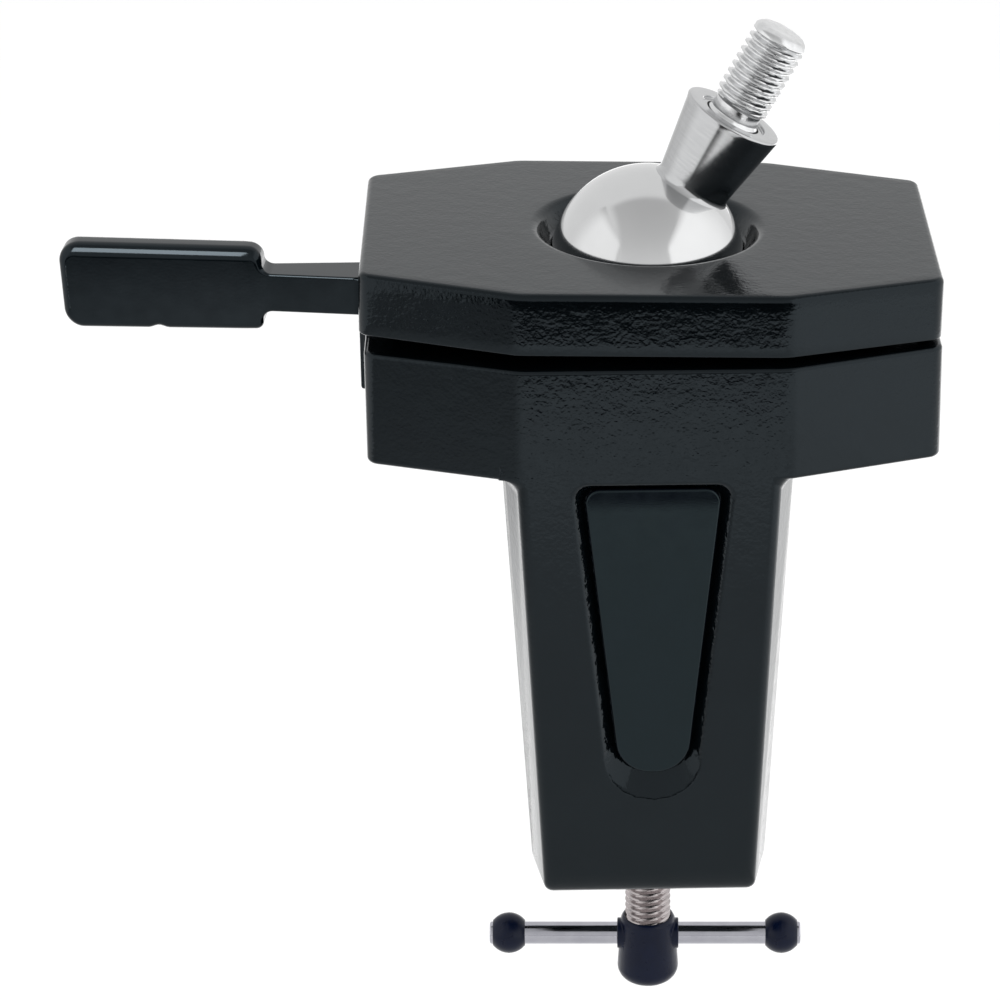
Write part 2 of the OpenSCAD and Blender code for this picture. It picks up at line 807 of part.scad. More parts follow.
// Least gap between neighbouring turns, measured on the ring points one turn apart
coil_gap = min([for (i = [0 : coil_count - COIL_RINGS], j = [0 : COIL_SIDES - 1], k = [0 : COIL_SIDES - 1])
    norm(coil_points[i * COIL_SIDES + j] - coil_points[(i + COIL_RINGS) * COIL_SIDES + k])]);
echo(coil_gap = coil_gap);

module return_spring() {
    color(STEEL)
        in_lever_frame(0)
            polyhedron(points = coil_points, faces = coil_faces, convexity = 8);
}

module pivot_screws() {
    color(STEEL)
        at_pivots()
            cap_screw(bolt_head_z, plate_under(pivot_x) + pivot_grip);
}

module pivot_washers() {
    thick = gap_h - (pivot_x + pivot_washer_r) * tilt_slope - run_clear;
    color(STEEL)
        at_pivots()
            translate([0, 0, base_h])
                difference() {
                    cylinder(r = pivot_washer_r, h = thick);
                    translate([0, 0, -EPS])
                        cylinder(r = bolt_r + run_clear, h = thick + 2 * EPS);
                }
}

module nameplate() {
    color(BLACK_PLASTIC)
        translate([0, front_y + recess_depth, 0])
            rotate([90, 0, 0])
                linear_extrude(label_t)
                    polygon(recess_outline(recess_slope + label_margin, recess_top_slope + label_top,
                        ramp_len + label_margin));
}

// Spindle and handle

module clamp_spindle() {
    point_foot = pad_z - pad_h - 2;
    color(STEEL)
        difference() {
            rotate_extrude()
                polygon([
                    [0, spindle_foot], [spindle_r, spindle_foot],
                    [spindle_r, point_foot - 1], [point_r, point_foot],
                    [point_r, ring_z - 1.2], [groove_r, ring_z - 0.8], [groove_r, ring_z + 0.8],
                    [point_r, ring_z + 1.2], [point_r, point_z - 2], [point_r - 1.6, point_z - 0.4],
                    [0, point_z]]);
            in_handle_frame()
                along_x(bar_r + run_clear, 4 * spindle_r);
        }
}

module pressure_pad() {
    chamfer = 1;
    ring_r = pad_bore_r + ring_wire_r / 2;
    color(STEEL)
        difference() {
            translate([0, 0, pad_z - pad_h])
                rotate_extrude()
                    polygon([
                        [pad_bore_r, 0], [pad_r - 2.5, 0], [pad_r, 4],
                        [pad_r, pad_h - chamfer], [pad_r - chamfer, pad_h],
                        [0, pad_h], [0, point_depth + run_clear],
                        [point_r - 1.6 + run_clear, point_depth - 0.4 + run_clear],
                        [pad_bore_r, point_depth - 2 + run_clear]]);
            translate([0, 0, ring_z - ring_wire_r])
                cylinder(r = ring_r + ring_wire_r, h = 2 * ring_wire_r);
        }
}

module pad_snap_ring() {
    ring_r = pad_bore_r + ring_wire_r / 2;
    color(STEEL)
        translate([0, 0, ring_z])
            rotate_extrude()
                translate([ring_r, 0])
                    circle(r = ring_wire_r, $fn = 24);
}

module handle_hub() {
    height = grip_rise + grip_drop;
    bore_h = spindle_foot - grip_foot;
    color(BLACK_PLASTIC)
        difference() {
            union() {
                translate([0, 0, grip_foot])
                    rotate_extrude()
                        polygon([
                            [0, 0],
                            for (a = [-90 : 15 : 0])
                                [grip_r2 - grip_foot_r + grip_foot_r * cos(a),
                                    grip_foot_r + grip_foot_r * sin(a)],
                            [grip_r1, height - 1], [grip_r1 - 0.4, height - 0.2],
                            [grip_r1 - 0.8, height], [0, height]]);
                in_handle_frame()
                    along_x(collar_r, 2 * collar_x);
            }
            translate([0, 0, grip_foot + bore_h])
                cylinder(r = spindle_r, h = height);
            in_handle_frame()
                along_x(bar_r + run_clear, 4 * grip_r2);
        }
}

module tommy_bar() {
    chamfer = 0.4;
    color(POLISHED)
        in_handle_frame()
            translate([bar_offset - bar_len / 2, 0, 0])
                rotate([0, 90, 0])
                    rotate_extrude()
                        polygon([
                            [0, 0], [bar_r - chamfer, 0], [bar_r, chamfer],
                            [bar_r, bar_len - chamfer], [bar_r - chamfer, bar_len], [0, bar_len]]);
}

module bar_cap(side) {
    x = bar_offset + side * (bar_len / 2 - bar_stub - cap_len / 2);
    end_a = asin(cap_len / 2 / cap_r);
    color(BLACK_PLASTIC)
        in_handle_frame()
            translate([x, 0, 0])
                rotate([0, 90, 0])
                    rotate_extrude()
                        polygon([
                            [bar_r, -cap_len / 2],
                            for (k = [-6 : 6]) cap_r * [cos(end_a * k / 6), sin(end_a * k / 6)],
                            [bar_r, cap_len / 2]]);
}

module bar_cap_left() {
    bar_cap(-1);
}

module bar_cap_right() {
    bar_cap(1);
}

clamp_frame();
upper_plate();
ball();
neck_cone();
threaded_stud();
ball_seat();
locking_lever();
clamp_bolt();
thrust_washer();
lever_pin();
return_spring();
pivot_screws();
pivot_washers();
nameplate();
clamp_spindle();
pressure_pad();
pad_snap_ring();
handle_hub();
tommy_bar();
bar_cap_left();
bar_cap_right();
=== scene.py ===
import math

import bmesh
import bpy
from mathutils import Matrix, Vector


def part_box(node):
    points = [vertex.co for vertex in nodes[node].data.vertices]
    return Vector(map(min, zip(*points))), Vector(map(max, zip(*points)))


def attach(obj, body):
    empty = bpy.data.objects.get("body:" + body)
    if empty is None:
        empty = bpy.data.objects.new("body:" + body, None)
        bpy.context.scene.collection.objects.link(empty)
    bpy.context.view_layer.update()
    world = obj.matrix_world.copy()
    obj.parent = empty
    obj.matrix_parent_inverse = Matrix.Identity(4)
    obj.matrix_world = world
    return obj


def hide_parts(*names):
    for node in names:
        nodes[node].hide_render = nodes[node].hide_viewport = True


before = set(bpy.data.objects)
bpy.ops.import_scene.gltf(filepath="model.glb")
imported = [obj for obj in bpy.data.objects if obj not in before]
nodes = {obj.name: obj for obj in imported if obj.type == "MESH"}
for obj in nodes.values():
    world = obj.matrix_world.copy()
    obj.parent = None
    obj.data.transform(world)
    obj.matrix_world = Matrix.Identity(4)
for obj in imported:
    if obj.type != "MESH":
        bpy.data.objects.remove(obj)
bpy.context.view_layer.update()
MM = 0.001


# Clamp casting: one aluminium casting, sprayed with gloss black paint that dried with a fine
# orange-peel. It carries the lower half of the head, the tapered spine and the arm for the spindle.
# Its sharp edges are rolled a little, as the paint does it, and its large faces stay flat.
def put(name, mesh, place=Matrix.Identity(4)):
    piece = bpy.data.objects.new(name, mesh)
    bpy.context.scene.collection.objects.link(piece)
    piece.matrix_world = place
    return piece


def finished(piece, body, material, replaced):
    piece.data.materials.clear()
    piece.data.materials.append(material)
    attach(piece, body)
    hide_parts(replaced)


def baked_mesh(piece):
    bpy.context.view_layer.update()
    seen = piece.evaluated_get(bpy.context.evaluated_depsgraph_get())
    mesh = bpy.data.meshes.new_from_object(seen)
    piece.modifiers.clear()
    old = piece.data
    piece.data = mesh
    bpy.data.meshes.remove(old)
    return mesh


spine_front, recess_floor = -40.8 * MM, -38.4 * MM


def at_spine_shoulder(spot):
    inner, outer, back, low, high = 23 * MM, 30 * MM, -38 * MM, -2 * MM, 3.5 * MM
    return inner < abs(spot.x) < outer and spot.y < back and low < spot.z < high


def recess_rim(edge):
    bend, half, low, high = math.radians(20), 18 * MM, -74 * MM, -0.2 * MM
    return edge.calc_face_angle(0.0) > bend and all(
        abs(v.co.x) < half and v.co.y < spine_front + 0.1 * MM and low < v.co.z < high for v in edge.verts)


def sharp_edge(edge):
    bend = math.radians(32)
    return edge.calc_face_angle(0.0) > bend and not any(at_spine_shoulder(v.co) for v in edge.verts)


def rolled_edges(name, node, rolls):
    """The node's shape as a new mesh, with its triangles joined to faces. Each roll is a width
    and a test for the edges that get it."""
    work = bmesh.new()
    work.from_mesh(nodes[node].data)
    bmesh.ops.remove_doubles(work, verts=work.verts, dist=2e-6)
    bmesh.ops.dissolve_limit(work, angle_limit=math.radians(0.6), verts=work.verts, edges=work.edges)
    for width, chosen in rolls:
        edges = [e for e in work.edges if len(e.link_faces) == 2 and chosen(e)]
        bmesh.ops.bevel(work, geom=edges, offset=width, offset_type="OFFSET", segments=4, profile=0.5,
                        affect="EDGES", clamp_overlap=False, loop_slide=True)
    mesh = bpy.data.meshes.new(name)
    work.to_mesh(mesh)
    work.free()
    mesh.shade_smooth()
    return mesh


def smooth_between(mesh, bend):
    """Shades the mesh smooth, apart from edges that bend more than this many degrees."""
    mesh.shade_smooth()
    mesh.set_sharp_from_angle(angle=math.radians(bend))


def skin(work, rows):
    """Joins each closed row of points to the next one with faces."""
    for near, far in zip(rows, rows[1:]):
        for k in range(len(near)):
            m = (k + 1) % len(near)
            work.faces.new((near[k], near[m], far[m], far[k]))


def to_mesh(work, name, bend=40):
    bmesh.ops.recalc_face_normals(work, faces=work.faces)
    mesh = bpy.data.meshes.new(name)
    work.to_mesh(mesh)
    work.free()
    smooth_between(mesh, bend)
    return mesh


def combined(piece, others, operation):
    """Joins other closed shapes to the piece or cuts them out of it, and clears them away."""
    for k, other in enumerate(others):
        step = piece.modifiers.new("step%d" % k, "BOOLEAN")
        step.operation = operation
        step.solver = "EXACT"
        step.object = other
    mesh = baked_mesh(piece)
    for other in others:
        shape = other.data
        bpy.data.objects.remove(other)
        bpy.data.meshes.remove(shape)
    return mesh


def shoulder_mesh(side):
    """The hollow fillet where the spine's flank runs into the head, with a margin inside both."""
    r, edge, shift, inside = 3.6 * MM, 2.4 * MM, -0.7 * MM, 3.2 * MM
    front, taper_end, back = spine_front, -28.8 * MM, -18.45 * MM
    corner, slope, flank_half, taper, lean = 26.8 * MM, 0.345, 26.03 * MM, 0.311, 0.056
    places = [front + 0.02 * MM + edge * (1 - math.cos(0.5 * math.pi * k / 6)) for k in range(7)]
    places += [places[-1] + (taper_end - places[-1]) * k / 4 for k in range(1, 5)]
    places += [0.5 * (taper_end + back), back]
    work = bmesh.new()
    rows = []
    for y in places:
        inset = edge - math.sqrt(edge * edge - max(0.0, front + edge - y) ** 2)
        flank = flank_half + taper * (min(y, taper_end) - front)
        outline = []
        for k in range(10):
            a = math.pi * (1 - 0.5 * k / 9)
            z = (r + inset) * math.sin(a) - r
            outline.append((flank + r + (r + inset) * math.cos(a) + lean * z, z))
        outline += [(flank + r, inside), (flank - inside, inside), (flank - inside, -r)]
        row = []
        for x, z in outline:
            x = shift + side * x
            row.append(work.verts.new((x, max(y, front + slope * (abs(x) - corner) + 0.16 * MM), z)))
        rows.append(row)
    skin(work, rows)
    work.faces.new(rows[0])
    work.faces.new(rows[-1][::-1])
    return to_mesh(work, "spine_shoulder")


def without_crumbs(mesh, there, size):
    """Draws points together that lie closer than size at one spot."""
    work = bmesh.new()
    work.from_mesh(mesh)
    bmesh.ops.remove_doubles(work, verts=[v for v in work.verts if there(v.co)], dist=size)
    bmesh.ops.dissolve_degenerate(work, dist=1e-6, edges=work.edges)
    work.to_mesh(mesh)
    work.free()


def flat_faces_first(piece):
    """Lets large faces rule the shading of the rolled edges between them."""
    rule = piece.modifiers.new("flat_first", "WEIGHTED_NORMAL")
    rule.mode = "FACE_AREA"
    rule.weight = 80
    rule.thresh = 0.01
    baked_mesh(piece)


def ramp_face(face):
    """True for the sloping faces at the foot of the recess."""
    spot, half, low, high, steep, gentle = face.center, 13 * MM, -74 * MM, -60 * MM, 0.6, 0.95
    return (abs(spot.x) < half and spine_front + 0.01 * MM < spot.y < recess_floor + 0.1 * MM
            and low < spot.z < high and steep < -face.normal.y < gentle)


def evenly_shaded(mesh, chosen):
    """Shades the chosen faces as one smooth skin, apart from the faces round them."""
    faces = [f for f in mesh.polygons if chosen(f)]
    total = {}
    for face in faces:
        for v in face.vertices:
            total[v] = total.get(v, Vector()) + face.normal
    normals = [corner.vector.copy() for corner in mesh.corner_normals]
    for face in faces:
        for k in face.loop_indices:
            normals[k] = total[mesh.loops[k].vertex_index].normalized()
    mesh.normals_split_custom_set(normals)


class Finish:
    """A material with its shader and a few plain ways to link nodes into it."""

    def __init__(self, name, colour, roughness, metallic=0.0, ior=1.5):
        self.material = bpy.data.materials.new(name)
        self.material.use_nodes = True
        self.tree = self.material.node_tree
        self.shader = self.tree.nodes["Principled BSDF"]
        self.set("Base Color", (*colour, 1.0))
        self.set("Roughness", roughness)
        self.set("Metallic", metallic)
        self.set("IOR", ior)

    def set(self, socket, value):
        self.shader.inputs[socket].default_value = value

    def node(self, kind, links=(), **values):
        made = self.tree.nodes.new(kind)
        for name, value in values.items():
            setattr(made, name, value)
        for socket, source in dict(links).items():
            if hasattr(source, "is_linked"):
                self.tree.links.new(source, made.inputs[socket])
            else:
                made.inputs[socket].default_value = source
        return made

    def place(self, scale=(1, 1, 1)):
        spot = self.node("ShaderNodeTexCoord").outputs["Object"]
        if scale == (1, 1, 1):
            return spot
        return self.node("ShaderNodeMapping", {"Vector": spot, "Scale": scale}).outputs["Vector"]

    def noise(self, size, detail=2.0, roughness=0.5, stretch=(1, 1, 1), warp=0.0):
        return self.node("ShaderNodeTexNoise", {
            "Vector": self.place(stretch), "Scale": 1.0 / size, "Detail": detail,
            "Roughness": roughness, "Distortion": warp}).outputs["Fac"]

    def dulled(self, value, low, high):
        """Lets the roughness wander between two values."""
        self.feed("Roughness", self.node("ShaderNodeMapRange", {
            "Value": value, "From Min": 0.3, "From Max": 0.7,
            "To Min": low, "To Max": high}).outputs["Result"])

    def mottled(self, value, dark, light):
        """Lets the colour wander between two tones."""
        ramp = self.node("ShaderNodeValToRGB", {"Fac": value})
        for stop, at, tone in zip(ramp.color_ramp.elements, (0.3, 0.7), (dark, light)):
            stop.position = at
            stop.color = (*tone, 1.0)
        self.feed("Base Color", ramp.outputs["Color"])

    def within(self, low, high, soft):
        """1 inside a box of the object's own frame and 0 outside it, with soft borders."""
        spot = self.node("ShaderNodeSeparateXYZ", {"Vector": self.place()})
        inside = None
        for axis, start, end in zip("XYZ", low, high):
            for edge, sign in ((start, 1), (end, -1)):
                side = self.node("ShaderNodeMapRange", {
                    "Value": spot.outputs[axis], "From Min": edge - sign * soft,
                    "From Max": edge + sign * soft}).outputs["Result"]
                if inside is not None:
                    both = self.node("ShaderNodeMath", operation="MULTIPLY")
                    self.tree.links.new(inside, both.inputs[0])
                    self.tree.links.new(side, both.inputs[1])
                    side = both.outputs["Value"]
                inside = side
        return inside

    def relief(self, height, depth, strength=1.0, under=None):
        links = {"Height": height, "Distance": depth, "Strength": strength}
        if under is not None:
            links["Normal"] = under
        return self.node("ShaderNodeBump", links).outputs["Normal"]

    def feed(self, socket, source):
        self.tree.links.new(source, self.shader.inputs[socket])


def orange_peel_paint():
    paint = Finish("black_paint", (0.0012, 0.0021, 0.0028), 0.09, ior=1.356)
    paint.set("Specular Tint", (0.75, 0.9, 1.0, 1.0))
    paint.mottled(paint.noise(9 * MM, 3.0), (0.0009, 0.0016, 0.0022), (0.0016, 0.0027, 0.0035))
    paint.dulled(paint.noise(3 * MM, 3.0), 0.075, 0.12)
    cells = paint.noise(0.76 * MM, 1.2, 0.45, warp=0.2)
    broad = paint.noise(3.2 * MM, 1.0)
    peel = paint.relief(broad, 0.04 * MM, under=paint.relief(cells, 0.03 * MM))
    recess = paint.within((-17 * MM, -40.5 * MM, -64 * MM), (17 * MM, -38.3 * MM, -0.5 * MM), 0.3 * MM)
    paint.feed("Normal", paint.relief(paint.noise(1.3 * MM, 1.0, warp=0.3), 0.1 * MM, recess, under=peel))
    return paint.material


black_paint = orange_peel_paint()
casting = put("clamp_casting", rolled_edges("clamp_casting", "clamp_frame",
                                            [(0.7 * MM, recess_rim), (0.35 * MM, sharp_edge)]))
for side in (-1, 1):
    smooth_between(combined(casting, [put("spine_shoulder", shoulder_mesh(side))], "UNION"), 38)
without_crumbs(casting.data, at_spine_shoulder, 0.3 * MM)
flat_faces_first(casting)
evenly_shaded(casting.data, ramp_face)
finished(casting, "frame", black_paint, "clamp_frame")


# Nameplate: a blank moulded plate with a rolled edge, pressed and glued into the recess
# on the front of the spine. Its face is satin and carries a fine even grain.
def nameplate_mesh():
    low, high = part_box("nameplate")
    front, back = low.y, high.y
    roll = 0.55 * MM
    top_half, foot_half = 13.6 * MM, 7.7 * MM
    top_r, foot_r = 3.0 * MM, 7.2 * MM
    lean = math.atan((top_half - foot_half) / (high.z - low.z))

    def outline(inset):
        corners = [
            (-foot_half + foot_r, low.z + foot_r, foot_r, math.pi + lean, 1.5 * math.pi),
            (foot_half - foot_r, low.z + foot_r, foot_r, 1.5 * math.pi, 2 * math.pi - lean),
            (top_half - top_r, high.z - top_r, top_r, -lean, 0.5 * math.pi),
            (-top_half + top_r, high.z - top_r, top_r, 0.5 * math.pi, math.pi + lean)]
        points = []
        for x, z, r, start, end in corners:
            for k in range(13):
                a = start + (end - start) * k / 12
                points.append((x + (r - inset) * math.cos(a), z + (r - inset) * math.sin(a)))
        return points

    work = bmesh.new()
    rings = [(back, 0.0), (front + roll, 0.0)]
    for k in range(1, 6):
        a = 0.5 * math.pi * k / 5
        rings.append((front + roll * (1 - math.sin(a)), roll * (1 - math.cos(a))))
    loops = [[work.verts.new((x, y, z)) for x, z in outline(inset)] for y, inset in rings]
    skin(work, loops)
    work.faces.new(loops[-1])
    work.faces.new(loops[0][::-1])
    crown, reach, strips = 0.34 * MM, 5.5 * MM, 11
    for k in range(1, strips + 1):
        bmesh.ops.bisect_plane(work, geom=work.verts[:] + work.edges[:] + work.faces[:], dist=1e-7,
                               plane_co=(0, 0, high.z - reach * k / strips), plane_no=(0, 0, 1))
    for v in work.verts:
        rise = max(0.0, (v.co.z - high.z + reach) / reach)
        if v.co.y < back - 0.2 * MM:
            v.co.y += crown * rise * rise
    return to_mesh(work, "nameplate", 35)


def blank_plate_finish():
    satin = Finish("plate_plastic", (0.0014, 0.0019, 0.0044), 0.2, ior=1.366)
    satin.set("Specular Tint", (0.68, 0.96, 1.0, 1.0))
    satin.dulled(satin.noise(3 * MM, 3.0), 0.17, 0.24)
    satin.mottled(satin.noise(6 * MM), (0.0011, 0.0015, 0.0037), (0.0017, 0.0023, 0.0051))
    satin.feed("Normal", satin.relief(satin.noise(0.3 * MM, 1.0), 0.012 * MM))
    return satin.material


plate_face = put("name_plate", nameplate_mesh())
flat_faces_first(plate_face)
finished(plate_face, "frame", blank_plate_finish(), "nameplate")


# Ball seat: a turned bronze ring with a hollow face that carries the ball from below.
# It lies loose in the casting's pocket and turns with the ball.
def turned_mesh(name, profile, around=128, bend=30):
    """Turns (radius, height) points, given from the lower to the upper end, about Z."""
    work = bmesh.new()
    rows = []
    for r, z in profile:
        if r < 1e-9:
            rows.append([work.verts.new((0, 0, z))])
        else:
            rows.append([work.verts.new((r * math.cos(a), r * math.sin(a), z))
                         for a in (2 * math.pi * k / around for k in range(around))])
    closed = profile[0][0] > 1e-9
    pairs = list(zip(rows, rows[1:])) + ([(rows[-1], rows[0])] if closed else [])
    for low, high in pairs:
        for k in range(around):
            m = (k + 1) % around
            if len(low) == 1:
                work.faces.new((low[0], high[m], high[k]))
            elif len(high) == 1:
                work.faces.new((low[k], low[m], high[0]))
            else:
                work.faces.new((low[k], low[m], high[m], high[k]))
    return to_mesh(work, name, bend)


ball_centre = 32.2 * MM


def seat_mesh():
    outer, bore, foot, top, hollow = 17 * MM, 11 * MM, 12 * MM, 20.6 * MM, 20.3 * MM
    face = []
    for k in range(25):
        r = bore + (outer - 0.25 * MM - bore) * k / 24
        face.append((r, min(top, ball_centre - math.sqrt(hollow * hollow - r * r))))
    rim = [p for p in face if p[1] < top - 1e-6]
    edge = math.sqrt(hollow * hollow - (ball_centre - top) ** 2)
    return turned_mesh("ball_seat_ring", [
        (bore, foot), (outer - 0.4 * MM, foot), (outer, foot + 0.4 * MM),
        (outer, top - 0.3 * MM), (outer - 0.15 * MM, top), (edge, top), *rim[::-1]])


def bronze_finish():
    bronze = Finish("seat_bronze", (0.60, 0.42, 0.20), 0.3, metallic=1.0)
    bronze.mottled(bronze.noise(3 * MM, 4.0), (0.50, 0.33, 0.14), (0.66, 0.47, 0.24))
    bronze.dulled(bronze.noise(1 * MM, 3.0), 0.24, 0.4)
    bronze.feed("Normal", bronze.relief(bronze.noise(0.25 * MM, 1.0, stretch=(1, 1, 6)), 0.01 * MM))
    return bronze.material


finished(put("ball_seat_ring", seat_mesh()), "seat", bronze_finish(), "ball_seat")


# Ball: a hardened steel ball, ground and polished to a mirror, with a small flat and a tapped
# hole for the stud. It sits between the bronze ring and the upper plate.
stud_axis = Matrix.Translation((0, 0, ball_centre)) @ Matrix.Rotation(math.radians(29.6), 4, "Y")
ball_radius, ball_flat = 20 * MM, 18.9 * MM


def arc(r, z, radius, start, end, steps):
    """Points on an arc round (r, z), from one angle in degrees to another."""
    return [(r + radius * math.cos(math.radians(start + (end - start) * k / steps)),
             z + radius * math.sin(math.radians(start + (end - start) * k / steps)))
            for k in range(steps + 1)]


def ball_mesh():
    flat_angle = math.degrees(math.asin(ball_flat / ball_radius))
    flat_r = ball_radius * math.cos(math.radians(flat_angle))
    profile = arc(0, 0, ball_radius, -90, flat_angle, 90)
    profile[0] = (0.0, -ball_radius)
    profile += [(flat_r - 0.3 * MM, ball_flat), (0.0, ball_flat)]
    return turned_mesh("steel_ball", profile, around=192)


def mirror_steel():
    mirror = Finish("polished_steel", (0.6, 0.604, 0.607), 0.1, metallic=1.0)
    mirror.dulled(mirror.noise(5 * MM, 4.0), 0.085, 0.125)
    mirror.mottled(mirror.noise(8 * MM, 3.0), (0.587, 0.591, 0.594), (0.613, 0.617, 0.62))
    mirror.feed("Normal", mirror.relief(mirror.noise(0.5 * MM, 2.0), 0.0006 * MM))
    return mirror.material


polished_steel = mirror_steel()
steel_ball = put("steel_ball", ball_mesh(), stud_axis)
finished(steel_ball, "ball", polished_steel, "ball")


# Neck: a turned steel cone that spaces the stud off the ball, with a small hollow fillet at its foot.
# Fine tool marks run round it, and a shallow ring is turned into its top face round the stud.
def neck_mesh():
    low_r, high_r, foot, top = 7.7 * MM, 10.6 * MM, ball_flat, 35.9 * MM
    bore, step_r, step = 6.0 * MM, 7.2 * MM, 0.6 * MM
    slope = math.degrees(math.atan2(high_r - low_r, top - foot))
    edge, fillet = 0.45 * MM, 0.9 * MM
    rim_r = low_r + 0.55 * MM
    rim_z = math.sqrt(ball_radius ** 2 - rim_r ** 2)
    profile = [(bore, foot - 0.6 * MM), (low_r - 1.0 * MM, foot - 0.6 * MM),
               (rim_r, rim_z - 0.25 * MM), (rim_r, rim_z)]
    start_z = foot + fillet
    start_r = low_r + (high_r - low_r) * fillet / (top - foot)
    for k in range(1, 9):
        t = k / 8
        bow = (1 - t) * (1 - t)
        profile.append((rim_r * bow + 2 * t * (1 - t) * (low_r + 0.02 * MM) + start_r * t * t,
                        rim_z * bow + 2 * t * (1 - t) * (foot - 0.05 * MM) + start_z * t * t))
    for k in range(1, 24):
        t = k / 24 * 0.96
        profile.append((start_r + (high_r - start_r) * t, start_z + (top - start_z) * t))
    profile += arc(high_r - edge - 0.06 * MM, top - edge, edge, -slope, 90, 6)
    profile += [(step_r + 1.2 * MM, top), (step_r + 0.15 * MM, top),
                (step_r, top - 0.1 * MM), (step_r - 0.1 * MM, top - step + 0.08 * MM),
                (step_r - 0.2 * MM, top - step), (bore, top - step)]
    return turned_mesh("turned_neck", profile, around=160)


def turned_steel_finish():
    turned = Finish("turned_steel", (0.46, 0.465, 0.47), 0.13, metallic=1.0)
    lines = turned.noise(0.16 * MM, 2.0, 0.6, stretch=(0.06, 0.06, 1))
    turned.dulled(lines, 0.08, 0.17)
    turned.mottled(turned.noise(0.5 * MM, 2.0, stretch=(0.1, 0.1, 1)),
                   (0.442, 0.447, 0.452), (0.478, 0.483, 0.488))
    turned.feed("Normal", turned.relief(lines, 0.005 * MM))
    return turned.material


neck = put("turned_neck", neck_mesh(), stud_axis)
finished(neck, "ball", turned_steel_finish(), "neck_cone")


# Stud: an M12 threaded stud, screwed through the neck into the ball. The thread runs out
# into a plain relief above the neck, and the tip is rounded off.
def smooth_step(value, start, end):
    t = min(max((value - start) / (end - start), 0.0), 1.0)
    return t * t * (3 - 2 * t)


def threaded_rod(low, high, radius, share, outer, pitch, per_turn=12, around=96):
    """A rod along Z with a thread cut in. radius(z) is the most that it measures at a height, and
    share(z) how much of the thread's depth is cut there."""
    depth = 0.6134 * pitch
    crest_share, flank_share, bow = 0.14, 0.66, 0.35
    count = int(round((high - low) / pitch * per_turn))
    work = bmesh.new()
    rows = []
    for i in range(count + 1):
        z = low + (high - low) * i / count
        row = []
        for k in range(around):
            turn = (z / pitch - k / around) % 1.0
            ramp = abs(turn - 0.5) * 2
            cut = min(max((ramp - crest_share) / flank_share, 0.0), 1.0)
            cut = bow * smooth_step(cut, 0, 1) + (1 - bow) * cut
            r = min(radius(z), outer - depth * cut * share(z))
            a = 2 * math.pi * k / around
            row.append(work.verts.new((r * math.cos(a), r * math.sin(a), z)))
        rows.append(row)
    skin(work, rows)
    return work, rows


def fan(work, row, tip):
    for k in range(len(row)):
        work.faces.new((row[k], row[(k + 1) % len(row)], tip))


def close_end(work, row, z, shrink):
    """Closes a rod's end with a slightly domed face made of rings, each a scale and a rise."""
    rings = [row]
    for scale, rise in shrink:
        rings.append([work.verts.new((v.co.x * scale, v.co.y * scale, z + rise)) for v in row])
    tip = work.verts.new((0, 0, z + shrink[-1][1]))
    skin(work, rings)
    fan(work, rings[-1], tip)


def stud_mesh():
    low, high = 35.35 * MM, 56.0 * MM
    relief_end, crest, root = 38.3 * MM, 6.0 * MM, 5.15 * MM
    tip_len, tip_drop = 1.4 * MM, 1.25 * MM

    def radius(z):
        swell = root + (crest - root) * smooth_step(z, relief_end, relief_end + 0.9 * MM)
        foot = 0.5 * MM * (1 - smooth_step(z, low, low + 0.7 * MM))
        tip = max(0.0, z - (high - tip_len)) / tip_len
        return swell + foot - tip_drop * tip ** 2.2

    def share(z):
        run_in = smooth_step(z, relief_end - 0.2 * MM, relief_end + 0.6 * MM)
        return run_in * (1 - smooth_step(z, high - tip_len - 0.9 * MM, high - tip_len + 0.3 * MM))

    work, rows = threaded_rod(low, high, radius, share, crest, pitch=1.75 * MM)
    close_end(work, rows[-1], high, [(0.94, 0.06 * MM), (0.6, 0.08 * MM), (0.25, 0.08 * MM)])
    close_end(work, rows[0], low, [(0.5, 0.0)])
    return to_mesh(work, "stud_thread", 50)


def bright_thread_finish():
    bright = Finish("bright_steel", (0.66, 0.665, 0.67), 0.16, metallic=1.0)
    bright.dulled(bright.noise(0.6 * MM, 3.0), 0.10, 0.22)
    bright.mottled(bright.noise(1.5 * MM, 3.0), (0.60, 0.605, 0.61), (0.70, 0.705, 0.71))
    bright.feed("Normal", bright.relief(bright.noise(0.2 * MM, 1.0), 0.004 * MM))
    return bright.material


bright_steel = bright_thread_finish()
stud = put("stud_thread", stud_mesh(), stud_axis)
finished(stud, "ball", bright_steel, "threaded_stud")


# Upper plate: an octagonal aluminium casting in the same black paint, with a dish and a hollow
# seat round the ball. It rocks on the pivot washers and is pulled down by the clamp bolt.
plate_place = Matrix.Translation((0, 0, ball_centre)) @ Matrix.Rotation(math.radians(1.2), 4, "Y")


